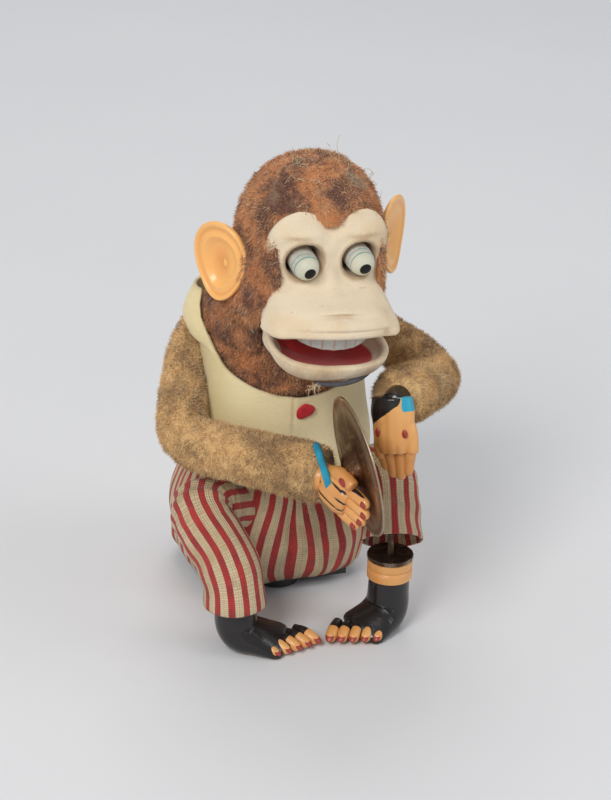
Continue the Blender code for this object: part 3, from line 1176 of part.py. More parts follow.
    t = np.linspace(-np.pi / 2, np.pi / 2, 13)
    rows = []
    for z in (HEAD_BASE + TEETH_LOW, tongue_z - GAP):
        x = np.concatenate([TEETH_HALF_WIDTH * np.sin(t),
                            (TEETH_HALF_WIDTH - TEETH_THICKNESS) * np.sin(t[::-1])])
        y = np.concatenate([-TEETH_BOW * np.cos(t), (TEETH_THICKNESS - TEETH_BOW) * np.cos(t[::-1])])
        rows.append(np.stack([x, y + HEAD_Y + TEETH_Y, np.full(len(x), z)], 1))
    teeth = skin("teeth", np.array(rows), nylon())

    jaw = lower_jaw("lower_jaw", 0.0, JAW_WALL, 0.0, flock())
    jaw_y, jaw_z, half = HEAD_Y + JAW_PIN_Y, HEAD_BASE + JAW_PIN_RISE, jaw_half()
    for side in (-1, 1):
        cut(jaw, rod(f"jaw_pin_hole{side}", (side * (half - 0.005), jaw_y, jaw_z),
                     (side * (half + 0.005), jaw_y, jaw_z), JAW_PIN_RADIUS + RUNNING, flock(), 12))
    lining = lower_jaw("jaw_lining", JAW_WALL + GAP, LINING_WALL, LINING_DROP, red_paint())

    ears = [ear("right_ear", -1, *RIGHT_EAR), ear("left_ear", 1, *LEFT_EAR)]
    still = [skull, plush, mask, frame, teeth] + ears
    return post, still, [jaw, lining], [carriage] + eyes


def shrunk(table, grow):
    """Rings of the head's ovals, grown or shrunk sideways and at the crown alike."""
    top = table[-1][0]
    rows = [(h + grow * max(0.0, (h - 0.5 * top) / (0.5 * top)), max(w + grow, 0.003), y,
             max(d + grow, 0.003)) for h, w, y, d in table]
    return shifted(rows, HEAD_BASE, 0.0, HEAD_Y, 20)


def mask_window(room):
    """The block behind and in front of the mask that the plush leaves free."""
    rings = []
    for h, half_width, front, edge in FACE_SECTIONS:
        if h < MOUTH_TOP - 0.004:
            continue
        x = (half_width + room) * np.array([-1.0, -1.0, 1.0, 1.0])
        y = HEAD_Y + np.array([edge + 5 * GAP, -0.10, -0.10, edge + 5 * GAP])
        rings.append(np.stack([x, y, np.full(4, HEAD_BASE + h)], 1))
    top = rings[0].copy()
    top[:, 2] += room
    top[:, 0] *= 0.98
    return skin("mask_window", np.array([top] + rings), head_fur())


def head_frame(tongue_z):
    """The metal bracket in the skull: deck, cheeks, nod pin, jaw pin and palate tongue."""
    half, middle, depth = oval_at(HEAD_OVALS, tongue_z - HEAD_BASE)
    room = PLUSH + GAP + SKULL_WALL + GAP
    ring = [oval(half - room, middle + HEAD_Y, depth - room, z, 20)
            for z in (tongue_z, tongue_z + FRAME_PLATE)]
    frame = skin("head_frame", np.array(ring), steel())
    cut(frame, box("frame_front", (-0.06, HEAD_Y - 0.10, tongue_z - 0.01),
                   (0.06, HEAD_Y + MOUTH_BACK, tongue_z + 0.01), steel()))
    fuse(frame, box("palate", (-PALATE_HALF, HEAD_Y - PALATE_REACH, tongue_z),
                    (PALATE_HALF, HEAD_Y, tongue_z + FRAME_PLATE), steel()))
    jaw_y, jaw_z = HEAD_Y + JAW_PIN_Y, HEAD_BASE + JAW_PIN_RISE
    for side in (-1, 1):
        low, high = sorted((side * 0.0068, side * 0.0080))
        fuse(frame, box(f"cheek{side}", (low, jaw_y - 0.003, PIVOT_Z - 0.0035),
                        (high, NECK_Y + 0.0045, tongue_z + FRAME_PLATE / 2), steel()))
    fuse(frame, rod("nod_pin", (-0.0075, NECK_Y, PIVOT_Z), (0.0075, NECK_Y, PIVOT_Z),
                    NOD_PIN_RADIUS, steel(), 14))
    end = jaw_half() - 0.6 * JAW_WALL
    fuse(frame, rod("jaw_pin", (-end, jaw_y, jaw_z), (end, jaw_y, jaw_z), JAW_PIN_RADIUS, steel(), 12))
    return frame


def jaw_half():
    """The jaw's half width at its pin."""
    depth = (JAW_PIN_Y - JAW_MIDDLE[0]) / JAW_RADII[1]
    rise = (JAW_PIN_RISE - JAW_MIDDLE[1]) / JAW_RADII[2]
    return JAW_NECK_HALF * math.sqrt(1.0 - depth ** 2 - rise ** 2)


def jaw_form(name, inset, material):
    """The jaw's round form: an ellipsoid, narrower at the back where it passes the cheeks."""
    form = ball(name, (0, 0, 0), tuple(r - inset for r in JAW_RADII), material, 18, 10)
    narrow = (JAW_NECK_HALF - inset) / (JAW_RADII[0] - inset)
    for vertex in form.data.vertices:
        vertex.co.x *= narrow if vertex.co.y > -0.0001 else 1.0
    return placed(form, Matrix.Translation((0, HEAD_Y + JAW_MIDDLE[0], HEAD_BASE + JAW_MIDDLE[1])))


def lower_jaw(name, inset, wall, drop, material):
    """A scoop: the lower front of a hollow round form, cut along the slanting mouth line."""
    scoop = jaw_form(name, inset, material)
    cut(scoop, jaw_form(name + "_room", inset + wall, material))
    far = 0.06
    hinge = Vector((0, HEAD_Y + JAW_PIN_Y, HEAD_BASE + JAW_PIN_RISE + JAW_RIM - drop))
    lid = box(name + "_lid", (-far, -0.08, 0.0), (far, 0.05, far), material)
    placed(lid, Matrix.Translation(hinge) @ Matrix.Rotation(math.radians(MOUTH_SLOPE_DEG), 4, "X"))
    back = box(name + "_back", (-far, JAW_BEHIND_PIN, -far), (far, far, far), material)
    placed(back, Matrix.Translation(hinge) @ Matrix.Rotation(-math.radians(JAW_BACK_LEAN_DEG), 4, "X"))
    return cut(scoop, lid, back)


def ear(name, side, out, rise):
    """A dished vinyl ear with a stem that plugs in the side of the head."""
    centre = Vector((side * out, HEAD_Y + EAR_SHIFT, HEAD_BASE + rise))
    turn = Matrix.Translation(centre) @ Matrix.Rotation(side * math.radians(-EAR_TURN_DEG), 4, "Z")
    shape = placed(ball(name, (0, 0, 0), (EAR_THICKNESS / 2, EAR_HALF_WIDTH, EAR_HALF_HEIGHT), vinyl(),
                        12, 8), turn)
    dish = placed(ball(name + "_dish", (side * EAR_THICKNESS * 0.62, 0.0015, 0.001),
                       (EAR_THICKNESS * EAR_DISH[0], EAR_HALF_WIDTH * EAR_DISH[1],
                        EAR_HALF_HEIGHT * EAR_DISH[2]), vinyl(), 12, 6), turn)
    half = oval_at(HEAD_OVALS, rise)[0] - PLUSH
    stem_y = centre.y + EAR_STEM_SHIFT
    fuse(shape, rod(name + "_stem", (side * (half + GAP / 2), stem_y, centre.z),
                    (side * (out - EAR_STEM_INSET), stem_y, centre.z), EAR_STEM_RADIUS, vinyl(), 14))
    cut(shape, dish)
    plush = bpy.data.objects["head_plush"]
    cut(plush, rod(name + "_hole", (side * (half - 0.002), stem_y, centre.z),
                   (side * (out + 0.01), stem_y, centre.z), EAR_STEM_RADIUS + GAP, vinyl(), 14))
    grown = placed(ball(name + "_room", (0, 0, 0), (EAR_THICKNESS / 2 + GAP, EAR_HALF_WIDTH + GAP,
                                                   EAR_HALF_HEIGHT + GAP), vinyl(), 12, 8), turn)
    cut(plush, grown)
    return shape


def main():
    clear_scene()
    base()
    mechanism()
    body_shell()
    clothes()
    leg("right", -1, RIGHT_KNEE, RIGHT_ANKLE)
    leg("left", 1, LEFT_KNEE, LEFT_ANKLE)
    right, right_shoulder, right_wrist = arm("right", -1, RIGHT_ARM_STEPS, RIGHT_HAND_REACH,
                                             RIGHT_HAND_SIDE, -0.001, 0.0030)
    left, left_shoulder, _ = arm("left", 1, LEFT_ARM_STEPS, LEFT_HAND_REACH,
                                 LEFT_HAND_SIDE, -0.004, 0.0086)
    right += cymbal(right_wrist, right[3])
    post, still, jaw, eyes = head()
    pivot("right_shoulder", right_shoulder, *right)
    pivot("left_shoulder", left_shoulder, *left)
    pivot("neck_press", (0, NECK_Y, PIVOT_Z), post)
    pivot("head_nod", (0, NECK_Y, PIVOT_Z), *still)
    pivot("jaw_hinge", (0, HEAD_Y + JAW_PIN_Y, HEAD_BASE + JAW_PIN_RISE), *jaw)
    pivot("eye_slide", (0, HEAD_Y + EYE_FRONT, HEAD_BASE + EYE_RISE), *eyes)


main()
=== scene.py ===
# %% [markdown]
# # A battery toy monkey with one cymbal
# The toy sits on a pale studio floor: a plush head and arms, a flocked mask with pop-out eyes,
# a felt vest, striped trousers, and painted vinyl hands, feet and ears over a battery case.
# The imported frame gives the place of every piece, so the looks are built round it in metres.

import math

import bpy
import numpy as np
from mathutils import Matrix, Vector


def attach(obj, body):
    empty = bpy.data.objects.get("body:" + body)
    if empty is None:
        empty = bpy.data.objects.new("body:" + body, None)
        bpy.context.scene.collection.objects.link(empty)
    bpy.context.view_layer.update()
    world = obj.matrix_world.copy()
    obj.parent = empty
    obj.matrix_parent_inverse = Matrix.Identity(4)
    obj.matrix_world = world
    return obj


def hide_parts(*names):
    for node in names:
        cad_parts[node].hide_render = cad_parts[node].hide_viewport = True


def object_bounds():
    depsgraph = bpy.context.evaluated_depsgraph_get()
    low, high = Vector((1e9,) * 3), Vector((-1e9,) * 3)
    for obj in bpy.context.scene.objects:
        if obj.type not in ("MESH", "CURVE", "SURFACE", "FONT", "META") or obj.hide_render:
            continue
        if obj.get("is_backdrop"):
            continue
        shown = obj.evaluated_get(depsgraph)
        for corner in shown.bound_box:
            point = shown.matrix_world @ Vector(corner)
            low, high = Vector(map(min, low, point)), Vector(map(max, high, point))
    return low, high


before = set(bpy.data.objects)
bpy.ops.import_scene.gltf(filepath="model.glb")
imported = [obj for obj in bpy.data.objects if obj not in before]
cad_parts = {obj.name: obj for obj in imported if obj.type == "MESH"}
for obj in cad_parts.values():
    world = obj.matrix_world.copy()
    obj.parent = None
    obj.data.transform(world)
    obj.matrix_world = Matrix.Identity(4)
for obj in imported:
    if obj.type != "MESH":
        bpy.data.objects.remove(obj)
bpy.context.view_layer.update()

# %% [markdown]
# ## Camera
# The picture was taken from a little to the toy's right and above. The camera is placed from
# its turn, its height angle and its roll, with a long lens, so that lines stay nearly parallel.

# %% The photograph's viewing angle
TURN, RISE, ROLL = math.radians(-19.6), math.radians(24.2), math.radians(1.6)
PLACE = Vector((-0.3951, -1.1697, 0.6563))
LENS_MM, SENSOR_MM = 110.6, 36
back = Vector((math.sin(TURN) * math.cos(RISE), -math.cos(TURN) * math.cos(RISE), math.sin(RISE)))
level = Vector((math.cos(TURN), math.sin(TURN), 0))
upward = back.cross(level)
right = level * math.cos(ROLL) + upward * math.sin(ROLL)
top = upward * math.cos(ROLL) - level * math.sin(ROLL)
lens = bpy.data.cameras.new("camera")
lens.lens, lens.sensor_width = LENS_MM, SENSOR_MM
camera = bpy.data.objects.new("camera", lens)
camera.matrix_world = Matrix.Translation(PLACE) @ Matrix((right, top, back)).transposed().to_4x4()
bpy.context.scene.collection.objects.link(camera)
bpy.context.scene.camera = camera
bpy.context.scene.view_settings.view_transform = "Standard"
print("camera", tuple(round(v, 3) for v in PLACE))

# %% [markdown]
# ## Tools for surfaces
# Each covering of the real toy is a sewn or moulded skin, so each is built here as a grid of
# points worked out from two parameters. Rings follow a path or a height, and a ring's points
# follow an angle. Numpy works out all the points of a piece at once.

# %% Meshes from grids of points
def weave(rings, closed=True, ends=(True, True), loop=False, keep=None, **values):
    """Faces over rings (n, m, 3). Corner uv = (place round the ring, place along the rings).
    Where ends says so, a ring is closed by a fan of triangles to its middle point; with loop the
    last ring joins the first. keep (n - 1, m) says which quads stay. Values are per ring point,
    (n, m). Faces turn outward: the sum of (face middle - centre) . face normal is positive."""
    n, m = rings.shape[:2]
    j = np.arange(m if closed else m - 1)
    k, i = (j + 1) % m, np.arange(n if loop else n - 1)[:, None]
    over = (i + 1) % n
    quads = np.stack([i * m + j, i * m + k, over * m + k, over * m + j], -1).reshape(-1, 4)
    step = np.array([[0, 0], [1, 0], [1, 1], [0, 1]])
    place = np.stack(np.broadcast_arrays(j[None], i), -1)[:, :, None] + step
    quad_uv = (place / (m if closed else m - 1, n if loop else n - 1)).reshape(-1, 4, 2)
    points, tris, tri_uv = [rings.reshape(-1, 3)], [np.zeros((0, 3), int)], [np.zeros((0, 3, 2))]
    marks = {key: np.broadcast_to(value, (n, m)) for key, value in values.items()}
    rows = {key: [value.ravel()] for key, value in marks.items()}
    for end, ring in zip(ends, (0, n - 1)):
        if end and closed and not loop:
            tip = np.full(m, sum(len(p) for p in points))
            points.append(rings[ring].mean(0)[None])
            for key in rows:
                rows[key].append(marks[key][ring].mean()[None])
            pair = (ring * m + k, ring * m + j) if ring == 0 else (ring * m + j, ring * m + k)
            tris.append(np.stack([*pair, tip], 1))
            spot = np.stack([j / m, np.full(m, float(ring > 0))], -1)
            tri_uv.append(np.stack([spot] * 3, 1))
    points, tris, tri_uv = (np.concatenate(part) for part in (points, tris, tri_uv))
    a, b, c, d = (points[quads[:, corner]] for corner in range(4))
    cross = np.cross(c - a, d - b)
    if loop:
        away = (a + c) / 2 - np.repeat(rings.mean(0)[None, j], n, 0).reshape(-1, 3)
    else:
        away = (a + c) / 2 - points.mean(0)
    if keep is not None:
        quads, quad_uv = quads[keep.ravel()], quad_uv[keep.ravel()]
    if np.einsum("ij,ij", away, cross) < 0:
        quads, tris, quad_uv, tri_uv = (part[:, ::-1] for part in (quads, tris, quad_uv, tri_uv))
    return points, quads, tris, quad_uv, tri_uv, {key: np.concatenate(v) for key, v in rows.items()}


def add(name, woven):
    """One mesh object of woven forms: their points, faces, uvs and values follow each other."""
    shift = np.cumsum([0] + [len(form[0]) for form in woven])
    points = np.concatenate([form[0] for form in woven])
    quads = np.concatenate([form[1] + past for form, past in zip(woven, shift)])
    tris = np.concatenate([form[2] + past for form, past in zip(woven, shift)])
    uvs = np.concatenate([form[3].reshape(-1, 2) for form in woven]
                         + [form[4].reshape(-1, 2) for form in woven])
    corners = np.concatenate([quads.ravel(), tris.ravel()]).astype(np.int32)
    starts = np.concatenate([np.arange(len(quads)) * 4, quads.size + np.arange(len(tris)) * 3])
    mesh = bpy.data.meshes.new(name)
    mesh.vertices.add(len(points))
    mesh.vertices.foreach_set("co", points.astype(np.float32).ravel())
    mesh.loops.add(len(corners))
    mesh.loops.foreach_set("vertex_index", corners)
    mesh.polygons.add(len(starts))
    mesh.polygons.foreach_set("loop_start", starts.astype(np.int32))
    mesh.polygons.foreach_set("use_smooth", np.ones(len(starts), bool))
    mesh.update(calc_edges=True)
    mesh.uv_layers.new(name="UVMap").data.foreach_set("uv", uvs.astype(np.float32).ravel())
    for key in sorted({key for form in woven for key in form[5]}):
        value = np.concatenate([form[5].get(key, np.zeros(len(form[0]))) for form in woven])
        kept = mesh.attributes.new(key, "FLOAT", "POINT").data
        kept.foreach_set("value", value.astype(np.float32))
    thing = bpy.data.objects.new(name, mesh)
    bpy.context.scene.collection.objects.link(thing)
    return thing


def skin(name, rings, closed=True, ends=(True, True), **values):
    """One mesh object of a single grid of rings."""
    return add(name, [weave(rings, closed, ends, **values)])


def through(rows, samples):
    """A smooth run through rows of values (k, c): Catmull-Rom pieces, read evenly."""
    rows = np.asarray(rows, float)
    t = np.linspace(0, len(rows) - 1, samples)
    i = np.minimum(t.astype(int), len(rows) - 2)
    f = (t - i)[:, None]
    padded = np.concatenate([2 * rows[:1] - rows[1:2], rows, 2 * rows[-1:] - rows[-2:-1]])
    p, q, r, s = (padded[i + k] for k in range(4))
    return 0.5 * (2 * q + (r - p) * f + (2 * p - 5 * q + 4 * r - s) * f ** 2
                  + (3 * q - p - 3 * r + s) * f ** 3)


def at_heights(table, heights):
    """Columns of a table (height, ...) read at any heights along its smooth run."""
    fine = through(table, 200)
    order = np.argsort(fine[:, 0])
    return [np.interp(heights, fine[order, 0], fine[order, k]) for k in range(1, fine.shape[1])]


def unit(vectors):
    """Vectors, each over its own length."""
    return vectors / np.linalg.norm(vectors, axis=-1, keepdims=True)


def circle(count):
    """Angles at equal steps round a whole turn."""
    return np.linspace(0, 2 * np.pi, count, endpoint=False)


def bend(points, reach):
    """A path of straight runs with rounded corners: each corner is a quadratic curve."""
    points = np.asarray(points, float)
    out = [points[:1]]
    for before, corner, after in zip(points, points[1:], points[2:]):
        start = corner + unit(before - corner) * reach
        end = corner + unit(after - corner) * reach
        t = np.linspace(0, 1, 9)[:, None]
        out.append((1 - t) ** 2 * start + 2 * t * (1 - t) * corner + t ** 2 * end)
    return np.concatenate(out + [points[-1:]])


def evenly(path, samples):
    """A path read at equal steps of its length."""
    gone = np.concatenate([[0], np.cumsum(np.linalg.norm(np.diff(path, axis=0), axis=1))])
    want = np.linspace(0, gone[-1], samples)
    return np.stack([np.interp(want, gone, path[:, k]) for k in range(path.shape[1])], 1)


def tube(path, radii, sides, first_side=None):
    """Rings square to a path: ring = place + radius * (cos a * side + sin a * up)."""
    ahead = unit(np.gradient(path, axis=0))
    side = np.cross(ahead[0], (0, 0, 1.0)) if first_side is None else np.asarray(first_side, float)
    sides_at = []
    for direction in ahead:
        side = unit(side - direction * (side @ direction))
        sides_at.append(side)
    side = np.array(sides_at)
    up = np.cross(side, ahead)
    a = circle(sides)
    radii = np.broadcast_to(np.asarray(radii, float).reshape(-1, 1), (len(path), sides))
    ring = np.cos(a)[:, None] * side[:, None] + np.sin(a)[:, None] * up[:, None]
    return path[:, None] + radii[..., None] * ring


def lumps(points, size, seed, count=14):
    """Soft lumps from -1 to 1 over points: a mean of sine waves of random direction and phase."""
    local = np.random.default_rng(seed)
    waves = local.normal(size=(count, 3))
    waves *= (2 * np.pi / size) / np.linalg.norm(waves, axis=1)[:, None]
    waves *= local.uniform(0.6, 1.5, (count, 1))
    phase = local.uniform(0, 2 * np.pi, count)
    return np.sin(points @ waves.T + phase).mean(-1) * math.sqrt(count) / 1.6


def clamp(value):
    """A value kept from 0 to 1."""
    return np.clip(value, 0.0, 1.0)


def ease(value, low, high):
    """0 below low, 1 above high, smooth between."""
    t = clamp((value - low) / (high - low))
    return t * t * (3 - 2 * t)


def bell(value, middle, width):
    """1 at the middle, 0.37 at one width from it, then nearly 0."""
    return np.exp(-((value - middle) / width) ** 2)


def boxy(value, power):
    """A sine or cosine with its sign kept and its size raised to a power: under 1 it is boxier."""
    return np.sign(value) * np.abs(value) ** power


def dress(thing, material, *modifiers):
    """Give a piece its material and finishing modifiers, each (kind, {setting: value})."""
    thing.data.materials.append(material)
    for kind, settings in modifiers:
        change = thing.modifiers.new(kind.lower(), kind)
        for key, value in settings.items():
            setattr(change, key, value)
    return thing


def thick(amount):
    """The modifier that gives a sheet its thickness, inward."""
    return ("SOLIDIFY", {"thickness": amount, "offset": -1.0, "use_rim": True})


def smoothed(values, times):
    """Each value but the ends becomes (before + 2 * itself + after) / 4, so many times."""
    values = values.copy()
    for _ in range(times):
        values[1:-1] = (values[:-2] + 2 * values[1:-1] + values[2:]) / 4
    return values


print("surface tools ready")

# %% [markdown]
# ## Pile
# Plush is a woven backing with short upright hairs that wear and mat into clumps. Each hair is
# a thin blade of five points that stands on the backing, leans with its clump and tapers.

# %% Hairs on a surface
CLUMP_SIZE, ROOT_DEPTH = 0.0075, 0.0003
LEAST_RISE = 0.25


def pile(name, rings, count, length, width, material, lean, seed, density=None):
    """Blades on a skin: root = a random spot of a random quad, picked by area; axis = normal
    + lean + a clump's own turn; middle and tip lie along the axis, bent further by the lean."""
    local = np.random.default_rng(seed)
    ahead = np.roll(rings, -1, 1)
    a, b, c, d = rings[:-1], ahead[:-1], ahead[1:], rings[1:]
    cross = np.cross(c - a, d - b)
    area = np.linalg.norm(cross, axis=-1)
    weight = area if density is None else area * density[:-1]
    pick = local.choice(area.size, count, p=(weight / weight.sum()).ravel())
    s, t = local.random((2, count, 1))
    a, b, c, d = (part.reshape(-1, 3)[pick] for part in (a, b, c, d))
    root = (a * (1 - s) + b * s) * (1 - t) + (d * (1 - s) + c * s) * t
    normal = (cross / np.maximum(area, 1e-12)[..., None]).reshape(-1, 3)[pick]
    away = (rings[:-1] + rings[1:]) / 2 - rings.reshape(-1, 3).mean(0)
    normal = normal * np.sign(np.einsum("ijk,ijk", cross, away))
    clump = np.stack([lumps(root, CLUMP_SIZE, seed + k) for k in range(3)], 1)
    axis = normal + 0.55 * np.asarray(lean) + 0.55 * clump + 0.35 * local.normal(size=(count, 3))
    axis += normal * np.maximum(LEAST_RISE - np.einsum("ij,ij->i", axis, normal), 0)[:, None]
    axis = unit(axis)
    long = length * local.uniform(0.55, 1.25, (count, 1))
    across = unit(np.cross(axis, local.normal(size=(count, 3)))) * width / 2
    root = root - normal * ROOT_DEPTH
    middle = root + axis * long * 0.55
    tip = root + axis * long + (0.25 * np.asarray(lean) + 0.2 * clump) * long
    points = np.stack([root - across, root + across, middle + 0.8 * across, middle - 0.8 * across,
                       tip], 1)
    first = np.arange(count)[:, None] * 5
    tone = np.repeat(local.random(count), 5)
    flat = np.zeros((count, 4, 2)), np.zeros((count, 3, 2))
    blades = (points.reshape(-1, 3), first + np.arange(4), first + np.array([3, 2, 4]), *flat,
              {"tone": tone})
    return dress(add(name, [blades]), material)


print("pile ready")

# %% [markdown]
# ## Tools for finishes
# A shader value is wrapped so that sums of noise, stripes and marks read like arithmetic.

# %% Shader values
class Flow:
    """A value in a shader tree. Arithmetic with numbers or other flows adds Math nodes."""

    def __init__(self, tree, socket):
        self.tree, self.socket = tree, socket

    def make(self, kind, settings=None, values=None, out=0):
        """Any other node: its settings first, then its inputs; the given output comes back."""
        node = self.tree.nodes.new(kind)
        for key, value in (settings or {}).items():
            setattr(node, key, value)
        for key, value in (values or {}).items():
            if isinstance(value, Flow):
                self.tree.links.new(value.socket, node.inputs[key])
            else:
                node.inputs[key].default_value = value
        return Flow(self.tree, node.outputs[out])

    def math(self, operation, *others):
        """A Math node whose first value is this one."""
        values = dict(enumerate((self, *others)))
        return self.make("ShaderNodeMath", {"operation": operation}, values)

    def __add__(self, other):
        return self.math("ADD", other)

    def __sub__(self, other):
        return self.math("SUBTRACT", other)

    def __rsub__(self, other):
        return self.make("ShaderNodeMath", {"operation": "SUBTRACT"}, {0: other, 1: self})

    def __mul__(self, other):
        return self.math("MULTIPLY", other)

    __radd__ = __add__
    __rmul__ = __mul__

    def step(self, low, high):
        """0 at low, 1 at high, smooth between."""
        return self.make("ShaderNodeMapRange", {"interpolation_type": "SMOOTHSTEP"},
                         {"Value": self, "From Min": low, "From Max": high})

    def noise(self, scale, detail=3.0, rough=0.55, twist=0.0):
        """Noise from 0 to 1 over a place in metres."""
        return self.make("ShaderNodeTexNoise", None,
                         {"Vector": self, "Scale": scale, "Detail": detail, "Roughness": rough,
                          "Distortion": twist})

    def part(self, axis):
        """One coordinate, 0 for x, 1 for y, 2 for z."""
        return self.make("ShaderNodeSeparateXYZ", None, {"Vector": self}, axis)

    def stretched(self, x, y, z):
        """A place with each coordinate multiplied."""
        return self.make("ShaderNodeVectorMath", {"operation": "MULTIPLY"}, {0: self, 1: (x, y, z)})


def blend_of(share, first, second):
    """Colours first and second mixed by a share."""
    def full(colour):
        return colour if isinstance(colour, Flow) else (*colour, 1.0)
    ends = {6: full(first), 7: full(second)}
    return share.make("ShaderNodeMix", {"data_type": "RGBA"}, {0: share, **ends}, 2)


def finish_of(name, recipe, roughness=0.8, metallic=0.0, bump=0.0, **fixed):
    """A material: recipe(place, uv, mark) gives {input: flow or value} and may give 'height',
    which is bumped by so many metres. mark(name) reads a float value kept in the mesh."""
    material = bpy.data.materials.new(name)
    material.use_nodes = True
    tree = material.node_tree
    shader = tree.nodes["Principled BSDF"]
    start = Flow(tree, shader.outputs[0])
    place = start.make("ShaderNodeTexCoord", out=3)
    uv = start.make("ShaderNodeTexCoord", out=2)

    def mark(key):
        return start.make("ShaderNodeAttribute", {"attribute_name": key}, out=2)

    shader.inputs["Roughness"].default_value = roughness
    shader.inputs["Metallic"].default_value = metallic
    for key, value in fixed.items():
        shader.inputs[key.replace("_", " ")].default_value = value
    made = recipe(place, uv, mark)
    height = made.pop("height", None)
    if height is not None:
        relief = {"Height": height, "Distance": bump, "Strength": 1.0}
        made["Normal"] = start.make("ShaderNodeBump", None, relief)
    for key, value in made.items():
        if isinstance(value, Flow):
            tree.links.new(value.socket, shader.inputs[key])
        else:
            shader.inputs[key].default_value = (*value, 1.0)
    material.diffuse_color = (0.6, 0.5, 0.4, 1.0)
    return material


print("shader tools ready")

# %% [markdown]
# ## Fabrics
# The head's plush is reddish brown, worn to its backing in dark patches, with blond threads at
# the crown. The arms' plush is golden tan. The vest is cream felt with yellowed stains, painted
# shade under the arm and a painted shadow along its lap, and the trousers are red and cream ticking
# with a visible weave, darkened in its grooves as painted shade. The mask is flocked in dirty
# cream, with painted shade in its sockets and creases.

# %% Fabric finishes
CROWN_LOW = 0.236
WHOLE_TURN = 6.283


def plush(light, mid, dark, blond=0.0):
    """Hair colours: patches of mid and dark, light tips, and worn threads above CROWN_LOW."""
    def recipe(place, uv, mark):
        patch = place.noise(48.0, 4.0, 0.62, 0.5)
        fine = place.noise(900.0, 2.0)
        tone = mark("tone")
        base = blend_of((patch + (fine - 0.5) * 0.35).step(0.38, 0.60), dark, mid)
        broad = (place.noise(30.0, 2.0) - 0.5) * 1.3
        tips = (tone * 0.75 + fine * 0.5 + broad - 0.15).step(0.35, 1.0)
        coloured = blend_of(tips * 0.8, base, light)
        if blond:
            crown = (place.part(2) - CROWN_LOW) * 45.0
            worn = place.stretched(1.0, 1.0, 0.6).noise(75.0, 5.0, 0.7).step(0.52, 0.66)
            coloured = blend_of((worn * crown.step(0.0, 1.0) * blond), coloured, (0.42, 0.30, 0.18))
        return {"Base Color": coloured, "height": fine + place.noise(300.0, 2.0)}
    return recipe


soft_light = {"Sheen_Weight": 0.25, "Sheen_Roughness": 0.5}
head_fur = finish_of("worn_brown_plush",
                     plush((0.95, 0.60, 0.31), (0.58, 0.240, 0.090), (0.165, 0.066, 0.042), 0.95),
                     0.9, bump=0.0008, **soft_light)
arm_fur = finish_of("worn_tan_plush",
                    plush((0.92, 0.70, 0.40), (0.72, 0.46, 0.20), (0.36, 0.21, 0.09)),
                    0.9, bump=0.0008, **soft_light)


def flocking(place, uv, mark):
    """Cream flock darkened by soil and by painted shade in its sockets and creases, a few specks,
    and red where the jaw is lined.
    """
    soil = (place.noise(60.0, 5.0, 0.7) * 0.9 + mark("soil") * 0.62).step(0.50, 1.02)
    base = blend_of(place.noise(28.0, 3.0).step(0.42, 0.66), (0.82, 0.68, 0.49), (0.76, 0.58, 0.36))
    specks = place.noise(420.0, 2.0, 0.6).step(0.66, 0.74)
    soiled_and_shaded = blend_of(soil * 0.75, base, (0.40, 0.25, 0.13))
    painted = blend_of(mark("red"), soiled_and_shaded, (0.62, 0.045, 0.04))
    return {"Base Color": blend_of(specks * 0.35, painted, (0.45, 0.30, 0.18)),
            "height": place.noise(1500.0, 2.0) + place.noise(220.0, 2.0) * 0.6}


flock = finish_of("flocked_mask", flocking, 0.88, bump=0.0004, Sheen_Weight=0.2)


def felt_recipe(place, uv, mark):
    """Cream felt with yellow stains, painted shade under the arm, and darkened edges with a painted
    shadow along the lapped front edge.
    """
    soil = place.noise(28.0, 5.0, 0.7, 0.5).step(0.50, 0.78)
    base = blend_of(place.noise(12.0, 2.0).step(0.3, 0.7), (0.86, 0.74, 0.45), (0.80, 0.66, 0.36))
    dark = mark("edge") * (0.35 + place.noise(90.0, 3.0) * 0.5)
    # The under-arm mark adds painted shade to the noise stains.
    yellow = (soil * 0.45 + mark("stain") * 0.5).math("MINIMUM", 1.0)
    stained = blend_of(yellow, base, (0.60, 0.47, 0.16))
    return {"Base Color": blend_of(dark, stained, (0.42, 0.31, 0.15)),
            "height": place.noise(1100.0, 3.0, 0.7) + place.noise(260.0, 2.0) * 0.5}


felt = finish_of("cream_felt", felt_recipe, 0.92, bump=0.0005, Sheen_Weight=0.3)


def ticking_recipe(count, along):
    """Stripes: a band is red where the place round the cloth, times count, lies past 0.52."""
    def recipe(place, uv, mark):
        around, length = uv.part(0), uv.part(1)
        wobble = (place.noise(60.0, 2.0) - 0.5) * 0.10
        turn = (around * count + wobble).math("FRACT")
        band = turn.step(0.50, 0.55) * (1.0 - turn.step(0.95, 1.0))
        thin = 1.0 - (turn - 0.25).math("ABSOLUTE").step(0.02, 0.045)
        thread = (length * along * WHOLE_TURN).math("SINE")
        weft = (around * count * 6.0 * WHOLE_TURN).math("SINE")
        broken = (0.95 + thread * 0.10 + (place.noise(900.0, 2.0) - 0.5) * 0.8).step(0.45, 0.8)
        cream = blend_of(place.noise(40.0, 4.0, 0.7).step(0.4, 0.75), (0.70, 0.57, 0.36),
                         (0.52, 0.39, 0.21))
        red = blend_of(place.noise(90.0, 3.0).step(0.35, 0.7), (0.50, 0.028, 0.030),
                       (0.33, 0.025, 0.028))
        cloth = blend_of(band * broken, blend_of(thin * 0.25, cream, (0.50, 0.28, 0.18)), red)
        # Darker where the weave's relief is low: painted shade in the grooves between threads.
        cloth = blend_of((0.5 - thread * 0.5) * 0.28, cloth, (0.16, 0.08, 0.05))
        soil = place.noise(50.0, 5.0, 0.7).step(0.56, 0.72) * 0.35
        return {"Base Color": blend_of(soil, cloth, (0.20, 0.14, 0.10)),
                "height": thread * 0.25 + weft * 0.25 + place.noise(500.0, 2.0)}
    return recipe


